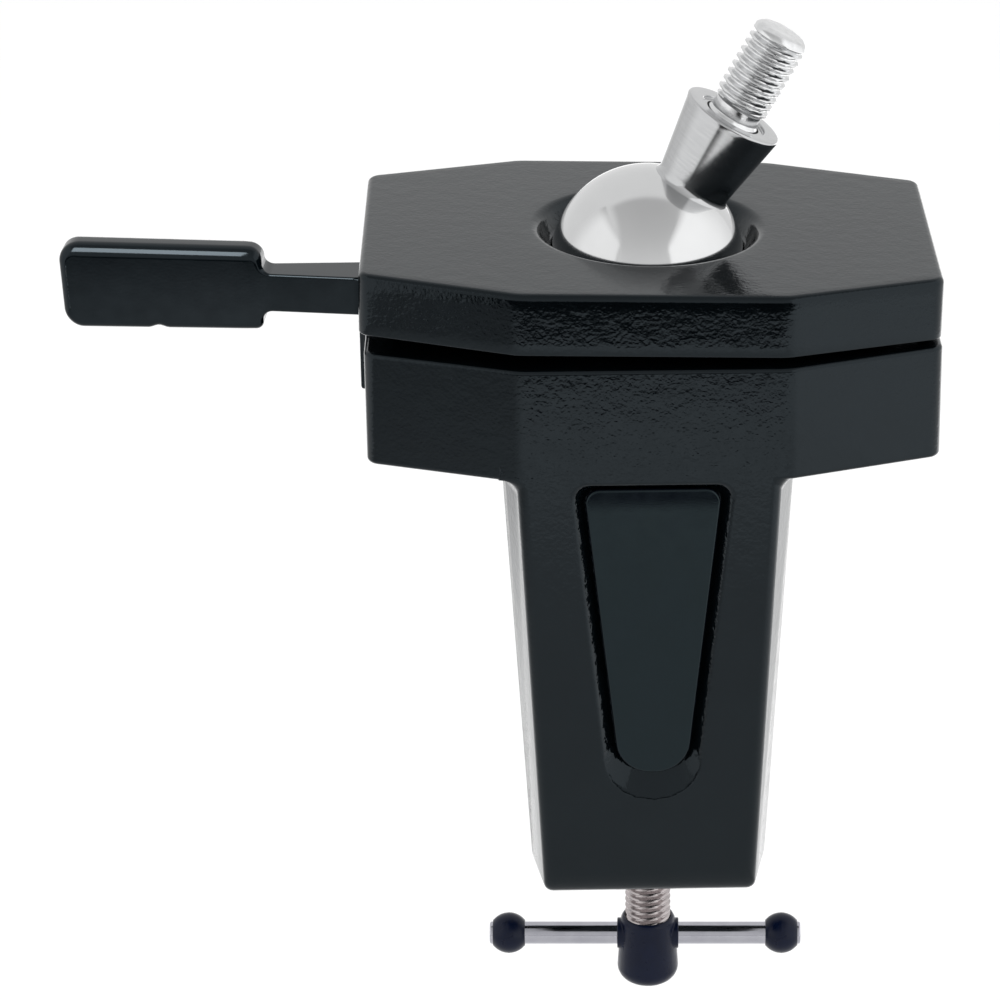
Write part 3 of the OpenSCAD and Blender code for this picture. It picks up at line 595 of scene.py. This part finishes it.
def octagon_outline(width, depth, front, side, corners, inset, per_edge, per_corner):
    """Points round an octagon, drawn in by inset. The two corner radii are for the ends of the
    front and back edges, and for those of the side edges."""
    w, d, f, s = width / 2, depth / 2, front / 2, side / 2
    points = [Vector(p) for p in (
        (-f, -d), (f, -d), (w, -s), (w, s), (f, d), (-f, d), (-w, s), (-w, -s))]
    faces = []
    for a, b in zip(points, points[1:] + points[:1]):
        along = (b - a).normalized()
        faces.append(Vector((along.y, -along.x)))
    rounded = []
    for i, p in enumerate(points):
        n1, n2 = faces[i - 1], faces[i]
        corner = corners[i % 4 // 2]
        centre = p - corner * (n1 + n2) / (1 + n1.dot(n2))
        start = math.atan2(n1.y, n1.x)
        turn = math.acos(max(-1.0, min(1.0, n1.dot(n2))))
        rounded.append([centre + (corner - inset) * Vector((math.cos(start + turn * k / per_corner),
                                                            math.sin(start + turn * k / per_corner)))
                        for k in range(per_corner + 1)])
    outline = []
    for i, group in enumerate(rounded):
        outline += group
        a, b = group[-1], rounded[(i + 1) % 8][0]
        outline += [a.lerp(b, k / per_edge) for k in range(1, per_edge)]
    return outline


def plate_mesh():
    width, depth, front, side = 116.8 * MM, 81.6 * MM, 53.6 * MM, 59.8 * MM
    corners, top, foot = (10.0 * MM, 3.0 * MM), 7.6 * MM, -5.3 * MM
    roll, foot_roll = 1.3 * MM, 0.43 * MM
    hollow, lip, rim_r, rim_roll, wall = 20.17 * MM, 3.3 * MM, 23.4 * MM, 2.5 * MM, 145
    lip_r = math.sqrt(hollow * hollow - lip * lip)
    rim_centre = rim_r + rim_roll * math.tan(math.radians(22.5))

    def octagon(inset):
        return octagon_outline(width, depth, front, side, corners, inset, per_edge=14, per_corner=7)

    spokes = [math.atan2(p.y, p.x) for p in octagon(0)]

    def circle(r):
        return [Vector((r * math.cos(a), r * math.sin(a))) for a in spokes]

    rings = [(circle(hollow + 0.4 * MM), foot), (circle(hollow), foot + 0.4 * MM), (circle(hollow), 0.0)]
    for k in range(1, 6):
        z = (lip - 0.12 * MM) * k / 5
        rings.append((circle(math.sqrt(hollow * hollow - z * z)), z))
    rings.append((circle(lip_r + 0.16 * MM), lip + 0.08 * MM))
    low_r, low_z = lip_r + 0.35 * MM, lip + 0.14 * MM
    high_r, high_z = arc(rim_centre, top - rim_roll, rim_roll, wall, 90, 1)[0]
    for k in range(6):
        t = k / 6
        sag = 0.1 * MM * math.sin(math.pi * t)
        rings.append((circle(low_r + (high_r - low_r) * t + sag), low_z + (high_z - low_z) * t - sag))
    for r, z in arc(rim_centre, top - rim_roll, rim_roll, wall, 90, 8):
        rings.append((circle(r), z))
    inner, outer = circle(rim_centre), octagon(roll)
    for k in range(1, 14):
        rings.append(([a.lerp(b, k / 14) for a, b in zip(inner, outer)], top))
    for k in range(9):
        a = 0.5 * math.pi * (1 - k / 8)
        rings.append((octagon(roll * (1 - math.cos(a))), top - roll * (1 - math.sin(a))))
    for k in range(1, 5):
        rings.append((octagon(0), top - roll + (foot + foot_roll - top + roll) * k / 5))
    for k in range(5):
        a = 0.5 * math.pi * k / 4
        rings.append((octagon(foot_roll * (1 - math.cos(a))), foot + foot_roll * (1 - math.sin(a))))
    last, first = octagon(foot_roll), rings[0][0]
    for k in range(1, 10):
        rings.append(([a.lerp(b, k / 10) for a, b in zip(last, first)], foot))
    work = bmesh.new()
    loops = [[work.verts.new((p.x, p.y, z)) for p in points] for points, z in rings]
    skin(work, loops + loops[:1])
    bmesh.ops.transform(work, matrix=plate_place, verts=work.verts)
    return to_mesh(work, "upper_plate", 45)


def prism(name, points, low, high):
    """An upright block over a plan, to cut out of a piece."""
    work = bmesh.new()
    foot_loop = [work.verts.new((x, y, low)) for x, y in points]
    roof_loop = [work.verts.new((x, y, high)) for x, y in points]
    work.faces.new(foot_loop[::-1])
    work.faces.new(roof_loop)
    skin(work, [foot_loop, roof_loop])
    return put(name, to_mesh(work, name))


def round_points(x, y, r, steps=64):
    return [(x + r * math.cos(2 * math.pi * k / steps), y + r * math.sin(2 * math.pi * k / steps))
            for k in range(steps)]


lever_x, lever_swing = -50 * MM, math.radians(44)


def neck_room():
    """Plan of the space that the lever's neck sweeps, as one outline round its axis."""
    reach, half = 29 * MM, 6.0 * MM
    points = []
    for sign in (1, -1):
        a = sign * lever_swing
        back = Vector((-math.cos(a), -math.sin(a)))
        side = Vector((-back.y, back.x)) * sign
        near, far = side * half, back * reach + side * half
        points += [near, far, far - side * 2 * half] if sign == 1 else [far - side * 2 * half, far, near]
    return [(lever_x + p.x, p.y) for p in points]


upper_plate = put("upper_plate_casting", plate_mesh())
cut_low, hole_r, pivot_x, pivot_y = 15 * MM, 3.25 * MM, 49 * MM, 17 * MM
room = [
    prism("hub_room", round_points(lever_x, 0, 10.1 * MM), cut_low, 31.0 * MM),
    prism("neck_room", neck_room(), cut_low, 30.9 * MM),
    prism("bolt_hole", round_points(lever_x, 0, hole_r, 32), cut_low, 38.6 * MM)]
for side in (-1, 1):
    hole = round_points(pivot_x, side * pivot_y, hole_r, 32)
    room.append(prism("pivot_hole", hole, cut_low, 34.1 * MM))
combined(upper_plate, room, "DIFFERENCE")
without_crumbs(upper_plate.data, lambda spot: spot.x < -30 * MM, 0.002 * MM)
smooth_between(upper_plate.data, 40)
finished(upper_plate, "plate", black_paint, "upper_plate")


# Pivot screws, washers, clamp bolt, thrust washer, cross pin and snap ring: bought steel parts,
# zinc plated. The ring sits in the pressure pad and the others inside the head. Only the screws'
# socket heads show, sunk into the jaw face.
def zinc_finish():
    zinc = Finish("zinc_steel", (0.62, 0.63, 0.65), 0.3, metallic=1.0)
    zinc.mottled(zinc.noise(2 * MM, 4.0), (0.52, 0.53, 0.55), (0.70, 0.71, 0.73))
    zinc.dulled(zinc.noise(0.7 * MM, 3.0), 0.24, 0.42)
    zinc.feed("Normal", zinc.relief(zinc.noise(0.3 * MM, 2.0), 0.008 * MM))
    return zinc.material


zinc_steel = zinc_finish()
for name in ("pivot_screws", "pivot_washers", "clamp_bolt", "thrust_washer", "lever_pin", "pad_snap_ring"):
    nodes[name].data.materials.clear()
    nodes[name].data.materials.append(zinc_steel)


# Locking lever: a die-cast lever with a round hub in the head and a flat paddle outside,
# sprayed in a smoother black than the castings. Pulled to the front, it locks the ball.
def lever_mesh():
    """Neck and paddle along -X, drawn from their upper and lower outlines with rolled edges."""
    start, inner, tip = 7.0 * MM, 29.2 * MM, 70.8 * MM
    fillet, outer_r, end_roll = 2.0 * MM, 4.0 * MM, 1.5 * MM
    low, high, lift, slant = 18.2 * MM, 35.9 * MM, 0.6 * MM, 0.8 * MM
    notch_at, notch_wide, notch_deep = 51 * MM, 4.4 * MM, 0.55 * MM
    middle = 0.5 * (low + high)

    def half(s):
        neck = 5.6 * MM - 2.2 * MM * min(s / inner, 1.0)
        return neck + 0.3 * MM * smooth_step(s, inner - 3 * MM, inner + 5 * MM)

    def edge_line(side, neck, end, inner_r, neck_roll, roll):
        """Points of one outline as (place along, height, outward direction, roll of the edge)."""
        rows = [(start + (inner - fillet - start) * k / 6, neck, 0.0, side, neck_roll) for k in range(6)]
        for k in range(20):
            t = 0.5 * math.pi * (k / 8 if k < 9 else (k - 9) / 10)
            r = neck_roll + (roll - neck_roll) * smooth_step(k, 0, 19)
            if k < 9:
                rows.append((inner - fillet + fillet * math.sin(t), neck + side * fillet * (1 - math.cos(t)),
                             -math.sin(t), side * math.cos(t), r))
            else:
                rows.append((inner + inner_r * (1 - math.cos(t)), end - side * inner_r * (1 - math.sin(t)),
                             -math.cos(t), side * math.sin(t), r))
        for k in range(1, 61):
            s = inner + inner_r + (tip - outer_r - inner - inner_r) * k / 60
            notch = notch_deep * max(0.0, math.cos(math.pi * min(abs(s - notch_at) / notch_wide, 0.5))) ** 2
            rise = lift * (s - inner) / (tip - inner) if side > 0 else notch
            rows.append((s, end + rise, 0.0, side, roll))
        last = rows[-1][1]
        for k in range(1, 13):
            t = 0.5 * math.pi * k / 12
            rows.append((tip - outer_r * (1 - math.sin(t)), last - side * outer_r * (1 - math.cos(t)),
                         math.sin(t), side * math.cos(t), roll + (end_roll - roll) * k / 12))
        stop = rows[-1][1]
        rise = middle + side * 0.1 * MM - stop
        return rows + [(tip, stop + rise * k / 6, 1.0, 0.0, end_roll) for k in range(1, 7)]

    work = bmesh.new()
    loops = []
    upper = edge_line(1, 30.5 * MM, high, 3.0 * MM, 0.55 * MM, 2.7 * MM)
    lower = edge_line(-1, 22.3 * MM, low, 1.6 * MM, 0.5 * MM, 1.3 * MM)
    for above, under in zip(upper, lower):
        loop = []
        for line, front, steps in ((above, -1, range(9)), (above, 1, range(8, -1, -1)),
                                   (under, 1, range(9)), (under, -1, range(8, -1, -1))):
            s, z, out_s, out_z, r = line
            for k in steps:
                a = 0.5 * math.pi * k / 8
                inset = r * (1 - math.sin(a))
                along, height = s - out_s * inset, z - out_z * inset
                y = front * (half(along) - r * (1 - math.cos(a)))
                lean = slant * (height - middle) / (high - low) * smooth_step(along, tip - 9 * MM, tip)
                loop.append(work.verts.new((-along - lean, y, height)))
        loops.append(loop)
    skin(work, loops)
    work.faces.new(loops[0])
    last = loops[-1]
    for k in range(len(last) // 2 - 1):
        work.faces.new((last[k], last[-1 - k], last[-2 - k], last[k + 1]))
    return to_mesh(work, "locking_lever_arm", 38)


def lever_hub_mesh():
    foot, top, r, bolt, boss = 5.0 * MM, 30.2 * MM, 9.7 * MM, 3.0 * MM, 7.5 * MM
    boss_top, pocket, pocket_z = 10.9 * MM, 5.4 * MM, 22.2 * MM
    return turned_mesh("lever_hub", [
        (boss, foot), (r - 0.5 * MM, foot), *arc(r - 0.5 * MM, foot + 0.5 * MM, 0.5 * MM, -60, 0, 3),
        *arc(r - 0.6 * MM, top - 0.6 * MM, 0.6 * MM, 0, 90, 4),
        (pocket + 0.3 * MM, top), (pocket, top - 0.3 * MM),
        (pocket, pocket_z), (bolt, pocket_z), (bolt, boss_top), (boss, boss_top)], around=96)


def smooth_black_finish():
    gloss = Finish("lever_paint", (0.0012, 0.0021, 0.0028), 0.1, ior=1.34)
    gloss.set("Specular Tint", (0.75, 0.9, 1.0, 1.0))
    gloss.mottled(gloss.noise(7 * MM, 3.0), (0.0009, 0.0016, 0.0022), (0.0016, 0.0027, 0.0035))
    gloss.dulled(gloss.noise(3 * MM, 3.0), 0.08, 0.14)
    wave = gloss.relief(gloss.noise(6 * MM, 1.0), 0.012 * MM)
    gloss.feed("Normal", gloss.relief(gloss.noise(0.6 * MM, 1.0), 0.003 * MM, under=wave))
    return gloss.material


lever_place = Matrix.Translation((lever_x, 0, 0)) @ Matrix.Rotation(math.radians(-4), 4, "Z")
lever = put("locking_lever_arm", lever_mesh(), lever_place)
lever_hub = put("lever_hub", lever_hub_mesh(), lever_place)
lug_half, lug_root = 2.4 * MM, -7.9 * MM
beside_lug = []
for sign in (-1, 1):
    near, far, end = sign * lug_half, sign * 9 * MM, -12 * MM
    plan = [(end, near), (lug_root, near), (lug_root, far), (end, far)][::sign]
    beside_lug.append(prism("beside_lug", plan, 4.9 * MM, 22.3 * MM))
    beside_lug[-1].matrix_world = lever_place
combined(lever_hub, beside_lug, "DIFFERENCE")
smooth_between(combined(lever, [lever_hub], "UNION"), 38)
flat_faces_first(lever)
finished(lever, "lever", smooth_black_finish(), "locking_lever")


# Return spring: a short coil of bright wire in the top of the lever's hub.
# It lifts the plate off the ball when the lever is let go.
def spring_mesh():
    low, high = 22.7 * MM, 30.3 * MM
    coil, wire, turns, sides = 4.4 * MM, 0.48 * MM, 4, 12
    count = turns * 36
    work = bmesh.new()
    rows = []
    for i in range(count + 1):
        t = i / count
        a = 2 * math.pi * turns * t
        middle = Vector((coil * math.cos(a), coil * math.sin(a), low + (high - low) * t))
        out = Vector((math.cos(a), math.sin(a), 0))
        rows.append([work.verts.new(middle + wire * (math.cos(b) * out + math.sin(b) * Vector((0, 0, 1))))
                     for b in (2 * math.pi * k / sides for k in range(sides))])
    skin(work, rows)
    work.faces.new(rows[0])
    work.faces.new(rows[-1][::-1])
    return to_mesh(work, "return_spring", 60)


spring = put("return_spring_coil", spring_mesh(), Matrix.Translation((lever_x, 0, 0)))
finished(spring, "lever", zinc_steel, "return_spring")


# Spindle: an M10 steel screw through the arm's tapped boss, plain where the hub grips it,
# with a turned thrust point that snaps into the pressure pad.
ring_z = -44.33 * MM


def spindle_mesh():
    low, high = -132.9 * MM, -49.5 * MM
    thread_low, crest = -124.0 * MM, 5.0 * MM

    def radius(z):
        return crest - 0.9 * MM * smooth_step(z, high - 1.2 * MM, high)

    def share(z):
        return smooth_step(z, thread_low, thread_low + 1.0 * MM)

    work, rows = threaded_rod(low, high, radius, share, crest, pitch=1.5 * MM, per_turn=8, around=72)
    close_end(work, rows[0], low, [(0.5, 0.0)])
    tip, point, groove = -40.0 * MM, 3.8 * MM, 3.0 * MM
    steps = [(point, high + 0.3 * MM), (point, ring_z - 1.2 * MM), (groove, ring_z - 0.8 * MM),
             (groove, ring_z + 0.8 * MM), (point, ring_z + 1.2 * MM), (point, tip - 2.0 * MM),
             (point - 0.5 * MM, tip - 1.1 * MM), (point - 1.6 * MM, tip - 0.4 * MM),
             (0.9 * MM, tip - 0.05 * MM)]
    turns = [rows[-1]]
    for r, z in steps:
        turns.append([work.verts.new((x, y, z)) for x, y in round_points(0, 0, r, len(rows[-1]))])
    skin(work, turns)
    fan(work, turns[-1], work.verts.new((0, 0, tip)))
    return to_mesh(work, "clamp_spindle", 50)


def shade_darkened_steel():
    # Painted shade: the base colour and its tones are set darker than the bright steel, for the shade under
    # the casting's arm, with a slight warm tint.
    darkened_steel = Finish("shade_darkened_steel", (0.42, 0.385, 0.385), 0.2, metallic=1.0)
    darkened_steel.dulled(darkened_steel.noise(0.8 * MM, 3.0), 0.15, 0.28)
    darkened_steel.mottled(darkened_steel.noise(1.8 * MM, 3.0), (0.37, 0.34, 0.34), (0.47, 0.43, 0.43))
    darkened_steel.feed("Normal", darkened_steel.relief(darkened_steel.noise(0.2 * MM, 1.0), 0.004 * MM))
    return darkened_steel.material


spindle = put("screw_spindle", spindle_mesh())
finished(spindle, "spindle", shade_darkened_steel(), "clamp_spindle")


# Pressure pad: a turned steel pad with a bevelled foot, held on the spindle's point by a snap ring.
# Its face presses on the table from below and stays still while the spindle turns.
def pad_mesh():
    foot, top, r = -46.5 * MM, -37.5 * MM, 11 * MM
    bore, bore_top, groove, ring = 3.88 * MM, -39.92 * MM, 4.63 * MM, 0.5 * MM
    profile = [
        (0.0, bore_top), (bore - 1.2 * MM, bore_top - 0.6 * MM), (bore, bore_top - 1.6 * MM),
        (bore, ring_z + ring), (groove, ring_z + ring), (groove, ring_z - ring), (bore, ring_z - ring),
        (bore, foot + 0.4 * MM), (bore + 0.4 * MM, foot), (r - 2.7 * MM, foot),
        (r - 2.4 * MM, foot + 0.1 * MM), (r - 0.1 * MM, foot + 3.7 * MM), (r, foot + 4.0 * MM),
        (r, top - 1.0 * MM), (r - 0.1 * MM, top - 0.8 * MM), (r - 0.8 * MM, top - 0.1 * MM),
        (r - 1.0 * MM, top)]
    for k in range(1, 4):
        mid = r * (0.86 - 0.22 * k)
        profile += [(mid + 0.5 * MM, top), (mid + 0.2 * MM, top - 0.3 * MM),
                    (mid - 0.2 * MM, top - 0.3 * MM), (mid - 0.5 * MM, top)]
    return turned_mesh("pressure_pad", profile + [(0.0, top)], around=96)


finished(put("pressure_pad_disc", pad_mesh()), "pad", zinc_steel, "pressure_pad")


# Handle hub: a moulded blue-black plastic hub on the foot of the spindle, slightly wider at its foot,
# with short collars where the tommy bar passes through.
def moulded_finish():
    moulded = Finish("handle_plastic", (0.0015, 0.0045, 0.019), 0.3, ior=1.28)
    moulded.mottled(moulded.noise(5 * MM, 3.0), (0.0011, 0.0036, 0.016), (0.002, 0.0055, 0.022))
    moulded.dulled(moulded.noise(2 * MM, 3.0), 0.26, 0.38)
    moulded.feed("Normal", moulded.relief(moulded.noise(0.4 * MM, 1.0), 0.008 * MM))
    return moulded.material


handle_plastic = moulded_finish()
hub = put("handle_hub_grip", rolled_edges("handle_hub_grip", "handle_hub", [(0.25 * MM, sharp_edge)]))
flat_faces_first(hub)
finished(hub, "spindle", handle_plastic, "handle_hub")


# Tommy bar: a drawn steel rod, nickel plated, that slides through the hub.
# Its ends are turned to a small chamfer and stand a little out of the caps.
bar_axis = (Matrix.Translation((0, 0, -127.3 * MM)) @ Matrix.Rotation(math.radians(-1.8), 4, "Z")
            @ Matrix.Rotation(math.radians(90), 4, "Y"))
bar_half, bar_offset = 34.5 * MM, -0.6 * MM


def bar_mesh():
    r, edge = 2.5 * MM, 0.35 * MM
    start, end = bar_offset - bar_half, bar_offset + bar_half
    profile = [(0.0, start), (r - edge, start), *arc(r - edge, start + edge, edge, -90, 0, 4)[1:]]
    profile += [(r, start + edge + (end - start - 2 * edge) * k / 40) for k in range(1, 40)]
    profile += [*arc(r - edge, end - edge, edge, 0, 90, 4), (0.0, end)]
    return turned_mesh("tommy_bar", profile, around=64)


def nickel_finish():
    nickel = Finish("nickel_bar", (0.41, 0.41, 0.45), 0.12, metallic=1.0)
    nickel.mottled(nickel.noise(4 * MM, 4.0), (0.38, 0.38, 0.42), (0.44, 0.44, 0.48))
    nickel.dulled(nickel.noise(1.5 * MM, 3.0, stretch=(1, 1, 0.2)), 0.08, 0.18)
    nickel.feed("Normal", nickel.relief(nickel.noise(0.3 * MM, 1.0, stretch=(1, 1, 0.1)), 0.003 * MM))
    return nickel.material


bar = put("tommy_bar_rod", bar_mesh(), bar_axis)
finished(bar, "bar", nickel_finish(), "tommy_bar")


# Bar caps: moulded balls with flat ends, in the hub's plastic, pressed on the bar's ends.
# A fine mould seam runs round each.
cap_half = 3.55 * MM


def cap_mesh():
    r, half, bore, edge = 4.5 * MM, cap_half, 2.5 * MM, 0.25 * MM
    end = math.degrees(math.asin((half - edge) / r))
    face_r = r * math.cos(math.radians(end)) - 0.12 * MM
    profile = [(bore, -half), (face_r - 0.1 * MM, -half)]
    for k in range(33):
        a = -end + 2 * end * k / 32
        seam = 0.035 * MM if k == 16 else 0.0
        profile.append(((r + seam) * math.cos(math.radians(a)), r * math.sin(math.radians(a))))
    return turned_mesh("bar_cap", profile + [(face_r - 0.1 * MM, half), (bore, half)], around=96, bend=60)


for side, node in ((-1, "bar_cap_left"), (1, "bar_cap_right")):
    middle = bar_offset + side * (bar_half - 0.7 * MM - cap_half)
    cap = put(node + "_ball", cap_mesh(), bar_axis @ Matrix.Translation((0, 0, middle)))
    finished(cap, "bar", handle_plastic, node)


# Studio: a floor well below the handle that ends in front of the object, near white to the camera,
# a white surround, and a tall soft panel on each side, with the camera in the gap between them.
# The floor carries painted reflections: in glossy rays alone it glows, brighter towards the back,
# in a band near its front and towards the right, and turns dark towards its front edge and at a
# patch on the front left. A small strip lights the lever alone, and a weak lamp hangs overhead.
def studio_material(name, colour, glow):
    material = bpy.data.materials.new(name)
    material.use_nodes = True
    shader = material.node_tree.nodes["Principled BSDF"]
    shader.inputs["Base Color"].default_value = (*colour, 1.0)
    shader.inputs["Roughness"].default_value = 0.9
    shader.inputs["Specular IOR Level"].default_value = 0.1
    shader.inputs["Emission Color"].default_value = (1.0, 1.0, 1.0, 1.0)
    shader.inputs["Emission Strength"].default_value = glow
    return material


def sheet_of(name, corners, material):
    mesh = bpy.data.meshes.new(name)
    mesh.from_pydata(corners, [], [tuple(range(len(corners)))])
    mesh.materials.append(material)
    sheet = put(name, mesh)
    return sheet


def link_range(tree, source, start, end, low, high, smooth=False):
    made = tree.nodes.new("ShaderNodeMapRange")
    if smooth:
        made.interpolation_type = "SMOOTHSTEP"
    for socket, value in (("From Min", start), ("From Max", end), ("To Min", low), ("To Max", high)):
        made.inputs[socket].default_value = value
    tree.links.new(source, made.inputs["Value"])
    return made.outputs["Result"]


def link_math(tree, operation, first, second):
    made = tree.nodes.new("ShaderNodeMath")
    made.operation = operation
    for socket, source in zip(made.inputs, (first, second)):
        if isinstance(source, float):
            socket.default_value = source
        else:
            tree.links.new(source, socket)
    return made.outputs["Value"]


floor_z = -0.2
reflection_painted_floor = studio_material("floor_with_painted_reflections", (0.8, 0.8, 0.8), 0.0)
tree = reflection_painted_floor.node_tree
ray = tree.nodes.new("ShaderNodeLightPath")
place = tree.nodes.new("ShaderNodeSeparateXYZ")
tree.links.new(tree.nodes.new("ShaderNodeTexCoord").outputs["Object"], place.inputs["Vector"])
# Painted reflection: the glow built here shows in glossy rays alone. It is brighter towards the back, in
# bands near the front and towards the right, and falls off towards the front edge.
painted_reflection_glow = link_range(tree, place.outputs["Y"], -0.05, 0.15, 0.15, 0.65, True)
front_glow = link_range(tree, place.outputs["Y"], -0.53, -0.42, 0.5, 0.0, True)
right_glow = link_range(tree, place.outputs["X"], 0.15, 0.4, 0.0, 0.5, True)
painted_reflection_fade = link_math(tree, "MULTIPLY", link_range(tree, place.outputs["Y"], -0.66, -0.56, 0.0, 1.0, True),
                 link_range(tree, place.outputs["X"], -0.46, -0.2, 0.6, 1.0, True))
# Painted shade in reflections: a darker patch on the front left of the floor.
dark = link_math(tree, "MULTIPLY", link_range(tree, place.outputs["X"], -0.42, -0.1, 0.45, 0.0, True),
                 link_range(tree, place.outputs["Y"], -0.5, -0.43, 1.0, 0.0, True))
painted_reflection_fade = link_math(tree, "MULTIPLY", painted_reflection_fade, link_math(tree, "SUBTRACT", 1.0, dark))
painted_glow_bands = link_math(tree, "MAXIMUM", front_glow, right_glow)
painted_reflection_glow = link_math(tree, "MULTIPLY", link_math(tree, "ADD", painted_reflection_glow, painted_glow_bands), painted_reflection_fade)
# Painted reflection: glossy rays see the floor's colour go black where its glow falls off.
painted_black_in_reflections = link_math(tree, "MULTIPLY", ray.outputs["Is Glossy Ray"], link_math(tree, "SUBTRACT", 1.0, painted_reflection_fade))
grey = tree.nodes.new("ShaderNodeCombineColor")
for socket in grey.inputs:
    tree.links.new(link_math(tree, "MULTIPLY", link_math(tree, "SUBTRACT", 1.0, painted_black_in_reflections), 0.8), socket)
tree.links.new(grey.outputs["Color"], tree.nodes["Principled BSDF"].inputs["Base Color"])
seen = link_math(tree, "MULTIPLY", ray.outputs["Is Camera Ray"], 0.25)
mirrored = link_math(tree, "MULTIPLY", ray.outputs["Is Glossy Ray"], painted_reflection_glow)
tree.links.new(link_math(tree, "ADD", seen, mirrored),
               tree.nodes["Principled BSDF"].inputs["Emission Strength"])
floor_half, floor_front, floor_back = 3, -0.66, 3
sheet_of("floor", [(-floor_half, floor_front, floor_z), (floor_half, floor_front, floor_z),
                   (floor_half, floor_back, floor_z), (-floor_half, floor_back, floor_z)], reflection_painted_floor)

for name, x, near, far, top, glow in (
        ("panel_left", -0.5, -0.64, 0.2, 0.66, 1.25),
        ("panel_right", 0.5, -1.07, 0.42, 0.80, 1.42)):
    cloth = studio_material(name + "_cloth", (0.0, 0.0, 0.0), glow)
    tree = cloth.node_tree
    across = tree.nodes.new("ShaderNodeSeparateXYZ")
    spot = tree.nodes.new("ShaderNodeTexCoord")
    tree.links.new(spot.outputs["Generated"], across.inputs["Vector"])
    front_edge = link_range(tree, across.outputs["Y"], 0.0, 0.12, 0.75, glow, True)
    back_edge = link_range(tree, across.outputs["Y"], 0.7, 1.0, 1.0, 0.78, True)
    top_edge = link_range(tree, across.outputs["Z"], 0.8, 1.0, 1.0, 0.7, True)
    edges = link_math(tree, "MULTIPLY", link_math(tree, "MULTIPLY", front_edge, back_edge), top_edge)
    tree.links.new(edges, tree.nodes["Principled BSDF"].inputs["Emission Strength"])
    arch_deep, arch_high, arch = 0.36, 0.26, []
    for k in range(6, -1, -1):
        a = 0.5 * math.pi * k / 6
        arch.append((x, near + arch_deep * (1 - math.cos(a)), top - arch_high * (1 - math.sin(a))))
    panel = sheet_of(name, [(x, near, floor_z), (x, far, floor_z), (x, far, top)] + arch, cloth)
    panel.visible_camera = False

world = bpy.data.worlds.new("surround")
bpy.context.scene.world = world
world.use_nodes = True
sky = world.node_tree
sky.nodes.clear()
out = sky.nodes.new("ShaderNodeOutputWorld")
surround = sky.nodes.new("ShaderNodeBackground")
look = sky.nodes.new("ShaderNodeTexCoord")
parts = sky.nodes.new("ShaderNodeSeparateXYZ")
rays = sky.nodes.new("ShaderNodeLightPath")
sky.links.new(look.outputs["Generated"], parts.inputs["Vector"])
over_front = link_range(sky, parts.outputs["Y"], 0.08, 0.26, 1.0, 0.0, True)
between = link_range(sky, link_math(sky, "ABSOLUTE", parts.outputs["X"], 0.0), 0.48, 0.62, 1.0, 0.0, True)
shade = link_range(sky, parts.outputs["Z"], 0.3, 0.98, 0.09, 0.34)
ceiling = link_math(sky, "MULTIPLY", link_math(sky, "MULTIPLY", over_front, between), shade)
horizon = link_range(sky, parts.outputs["Z"], -0.22, -0.02, 0.0, 1.0, True)
walls = link_math(sky, "MULTIPLY", link_math(sky, "SUBTRACT", 0.97, ceiling), horizon)
sky.links.new(link_math(sky, "MAXIMUM", walls, rays.outputs["Is Camera Ray"]), surround.inputs["Strength"])
surround.inputs["Color"].default_value = (1.0, 1.0, 1.0, 1.0)
sky.links.new(surround.outputs["Background"], out.inputs["Surface"])


def area_lamp(name, width, height, power, place, aim):
    lamp = bpy.data.lights.new(name, "AREA")
    lamp.shape = "RECTANGLE"
    lamp.size, lamp.size_y, lamp.energy = width, height, power
    lamp_at = bpy.data.objects.new(name, lamp)
    bpy.context.scene.collection.objects.link(lamp_at)
    lamp_at.location = place
    lamp_at.rotation_euler = (Vector(aim) - Vector(place)).to_track_quat("-Z", "Y").to_euler()
    lamp_at.visible_camera = False
    return lamp_at


area_lamp("overhead", 1.4, 1.0, 2.5, (0.1, 0.1, 1.3), (0.0, 0.0, 0.0)).visible_glossy = False
strip = area_lamp("strip", 0.12, 0.16, 0.75, (-0.158, -0.164, 0.225), (-0.1, 0.0, 0.035))
strip_lit = bpy.data.collections.new("strip_lit")
strip_lit.objects.link(lever)
strip.light_linking.receiver_collection = strip_lit


# Camera: the photograph's long lens, looking 24 degrees down from the front,
# shifted sideways so that the lever and the head fill the frame as they do there.
eye = bpy.data.cameras.new("photo_lens")
eye.sensor_fit = "HORIZONTAL"
eye.sensor_width, eye.lens = 36.0, 144.0
eye.shift_x = -0.1554
eye.clip_start, eye.clip_end = 0.05, 20.0
camera = bpy.data.objects.new("photo_view", eye)
bpy.context.scene.collection.objects.link(camera)
camera.location = (-22.34 * MM, -773.37 * MM, 322.49 * MM)
camera.rotation_euler = (math.radians(66.0), 0.0, math.radians(-1.78))
bpy.context.scene.camera = camera
bpy.context.scene.view_settings.view_transform = "Standard"
